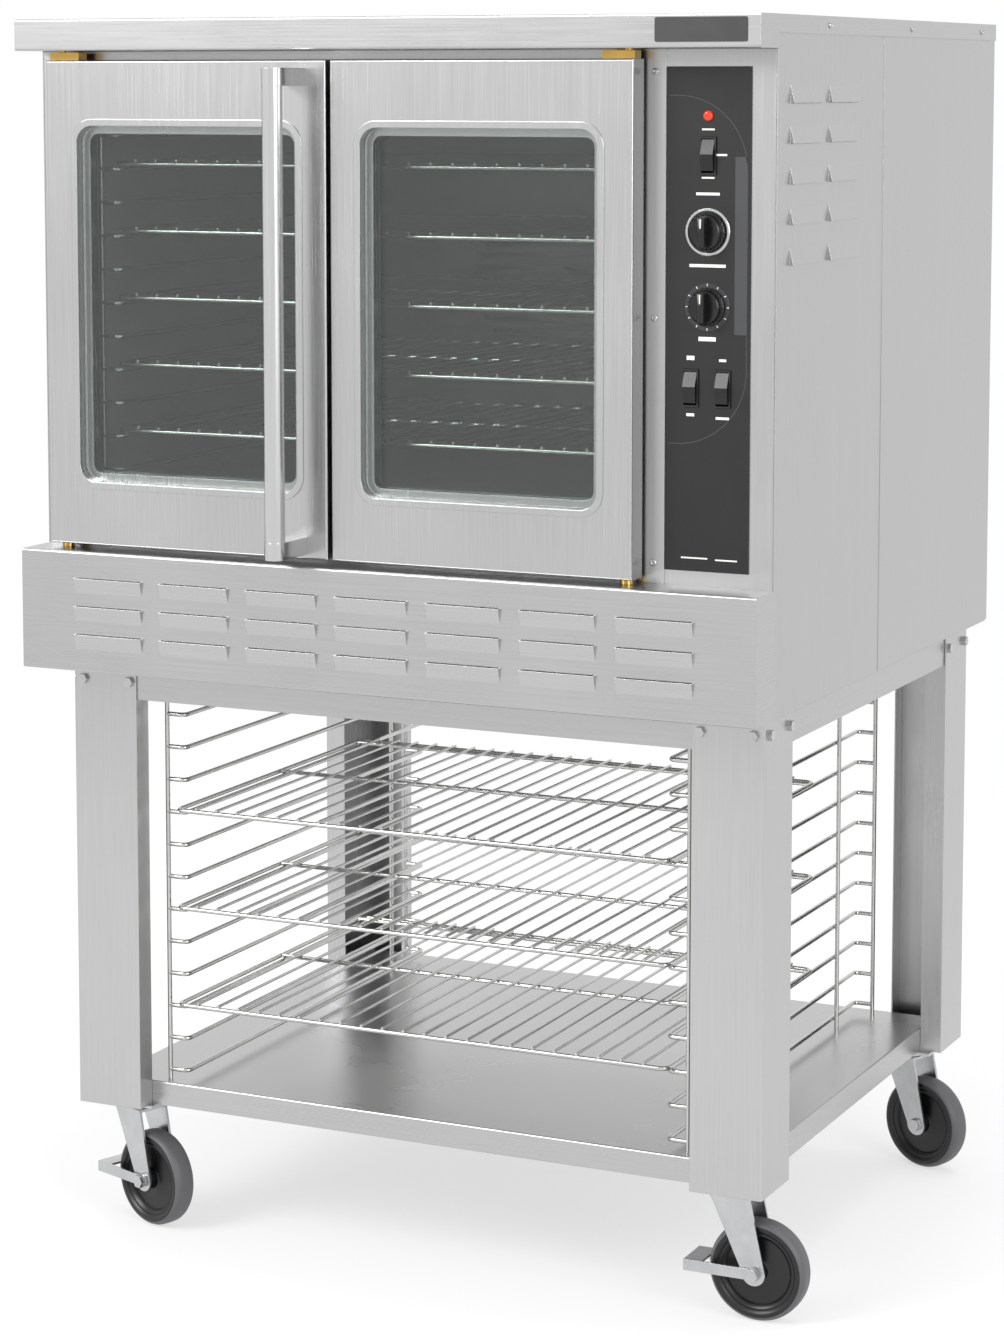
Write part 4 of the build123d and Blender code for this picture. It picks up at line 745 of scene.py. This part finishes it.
def makeScrews():
    head = makeScrewHead()
    group = makeScrewGroup()
    p = screwPlaces
    capLow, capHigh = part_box("top_cap")
    coverLow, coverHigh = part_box("motor_cover")
    backLow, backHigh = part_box("back_panel")
    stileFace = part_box("front_frame")[0].y
    capZ = capHigh.z - p["capDrop"] * mm
    panelEdges = (backLow.x + p["backInset"] * mm, backHigh.x - p["backInset"] * mm)
    coverEdges = (coverLow.x + p["coverInset"] * mm, coverHigh.x - p["coverInset"] * mm)
    panelSpots = [(x, backHigh.y, backLow.z + (p["backFirst"] + p["backPitch"] * i) * mm)
                  for x in panelEdges for i in range(backRows)]
    coverSpots = [(x, coverLow.y + p["coverLip"] * mm, coverLow.z + up * mm)
                  for x in coverEdges for up in p["coverUp"]]
    quarter = math.pi / 2
    rows = {
        "capScrewsRight": ([(capHigh.x, capLow.y + y * mm, capZ) for y in p["capBack"]], (0, quarter, 0)),
        "capScrewsLeft": ([(capLow.x, capLow.y + y * mm, capZ) for y in p["capBack"]], (0, -quarter, 0)),
        "stileScrews": ([(capHigh.x - p["stileInset"] * mm, stileFace, z * mm) for z in p["stileUp"]],
                        (quarter, 0, 0)),
        "backScrews": (panelSpots + coverSpots, (-quarter, 0, 0)),
    }
    for name, (spots, turn) in rows.items():
        mesh = growMesh(name, spots, group, {"Head": head, "Turn": turn, "Material": screwSteel})
        addPiece(name, mesh, root)
    bpy.data.objects.remove(head)


makeScrews()
print("screws placed")


# stage, light and camera, in metres, watts and degrees

studio = {"floorSize": 60, "floorGlow": 0.62, "glowFrom": 1.6, "glowTo": 3.6, "worldDiffuse": 0.75}
lamps = {
    "key": {"place": (-3.0, -4.5, 4.2), "aim": (0, 0, 0.9), "size": 3.5, "power": 260},
    "fill": {"place": (4.5, -2.5, 2.6), "aim": (0, 0, 0.9), "size": 3.0, "power": 110},
    "top": {"place": (0.5, 0.5, 5.0), "aim": (0, 0, 0.8), "size": 3.5, "power": 90},
}
view = {"x": 1.9015, "y": -4.1552, "z": 1.5265, "yaw": 25.189, "tilt": -5.844, "lens": 90.85,
        "shiftY": -0.18}


def straightRays(tree):
    # 1 for what is seen directly, in a reflection or through glass, 0 for the light on matt surfaces
    rays = addNode(tree, "ShaderNodeLightPath").outputs
    seen = calc(tree, "MAXIMUM", rays["Is Camera Ray"], rays["Is Glossy Ray"])
    return calc(tree, "MAXIMUM", seen, rays["Is Transmission Ray"])


def makeFloor():
    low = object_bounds()[0]
    size = studio["floorSize"]
    mesh = bpy.data.meshes.new("floor")
    corners = [(x * size, y * size, low.z) for x, y in ((-1, -1), (1, -1), (1, 1), (-1, 1))]
    mesh.from_pydata(corners, [], [(0, 1, 2, 3)])
    floor = bpy.data.objects.new("floor", mesh)
    scene.collection.objects.link(floor)
    material, tree = newMaterial("paleFloor")
    matt = addNode(tree, "ShaderNodeBsdfDiffuse", {"Color": hexColour("#F4F4F4")})
    glow = addNode(tree, "ShaderNodeEmission", {"Color": hexColour("#FFFFFF"), "Strength": 1.0})
    place = addNode(tree, "ShaderNodeTexCoord")
    far = addNode(tree, "ShaderNodeVectorMath", {"operation": "LENGTH"}, {0: place.outputs["Object"]})
    blend = addNode(tree, "ShaderNodeMapRange",
                    {"interpolation_type": "SMOOTHSTEP", "From Min": studio["glowFrom"],
                     "From Max": studio["glowTo"], "To Min": studio["floorGlow"], "To Max": 1.0},
                    {"Value": far.outputs["Value"]})
    part = calc(tree, "MULTIPLY", straightRays(tree), blend.outputs["Result"])
    surface = addNode(tree, "ShaderNodeMixShader", links={0: part, 1: matt.outputs[0], 2: glow.outputs[0]})
    finishMaterial(tree, surface.outputs[0])
    mesh.materials.append(material)


def makeWorld():
    world = bpy.data.worlds.new("studio")
    scene.world = world
    world.use_nodes = True
    tree = world.node_tree
    tree.nodes.clear()
    strength = addNode(tree, "ShaderNodeMapRange", {"To Min": studio["worldDiffuse"], "To Max": 1.0},
                       {"Value": straightRays(tree)})
    sky = addNode(tree, "ShaderNodeBackground", {"Color": (1, 1, 1, 1)},
                  {"Strength": strength.outputs["Result"]})
    addNode(tree, "ShaderNodeOutputWorld", links={"Surface": sky.outputs[0]})


def addLamp(name, place, aim, size, power):
    lamp = bpy.data.lights.new(name, "AREA")
    lamp.shape = "DISK"
    lamp.size = size
    lamp.energy = power
    holder = bpy.data.objects.new(name, lamp)
    holder.location = place
    holder.rotation_euler = (Vector(aim) - Vector(place)).to_track_quat("-Z", "Y").to_euler()
    scene.collection.objects.link(holder)


def makeCamera():
    camera = bpy.data.cameras.new("camera")
    camera.lens = view["lens"]
    camera.sensor_width = 36
    camera.shift_y = view["shiftY"]
    holder = bpy.data.objects.new("camera", camera)
    holder.location = (view["x"], view["y"], view["z"])
    holder.rotation_euler = (math.radians(90 + view["tilt"]), 0, math.radians(view["yaw"]))
    scene.collection.objects.link(holder)
    scene.camera = holder


makeFloor()
makeWorld()
for name, lamp in lamps.items():
    addLamp(name, **lamp)
makeCamera()
scene.view_settings.view_transform = "Standard"
print("stage, light and camera made")
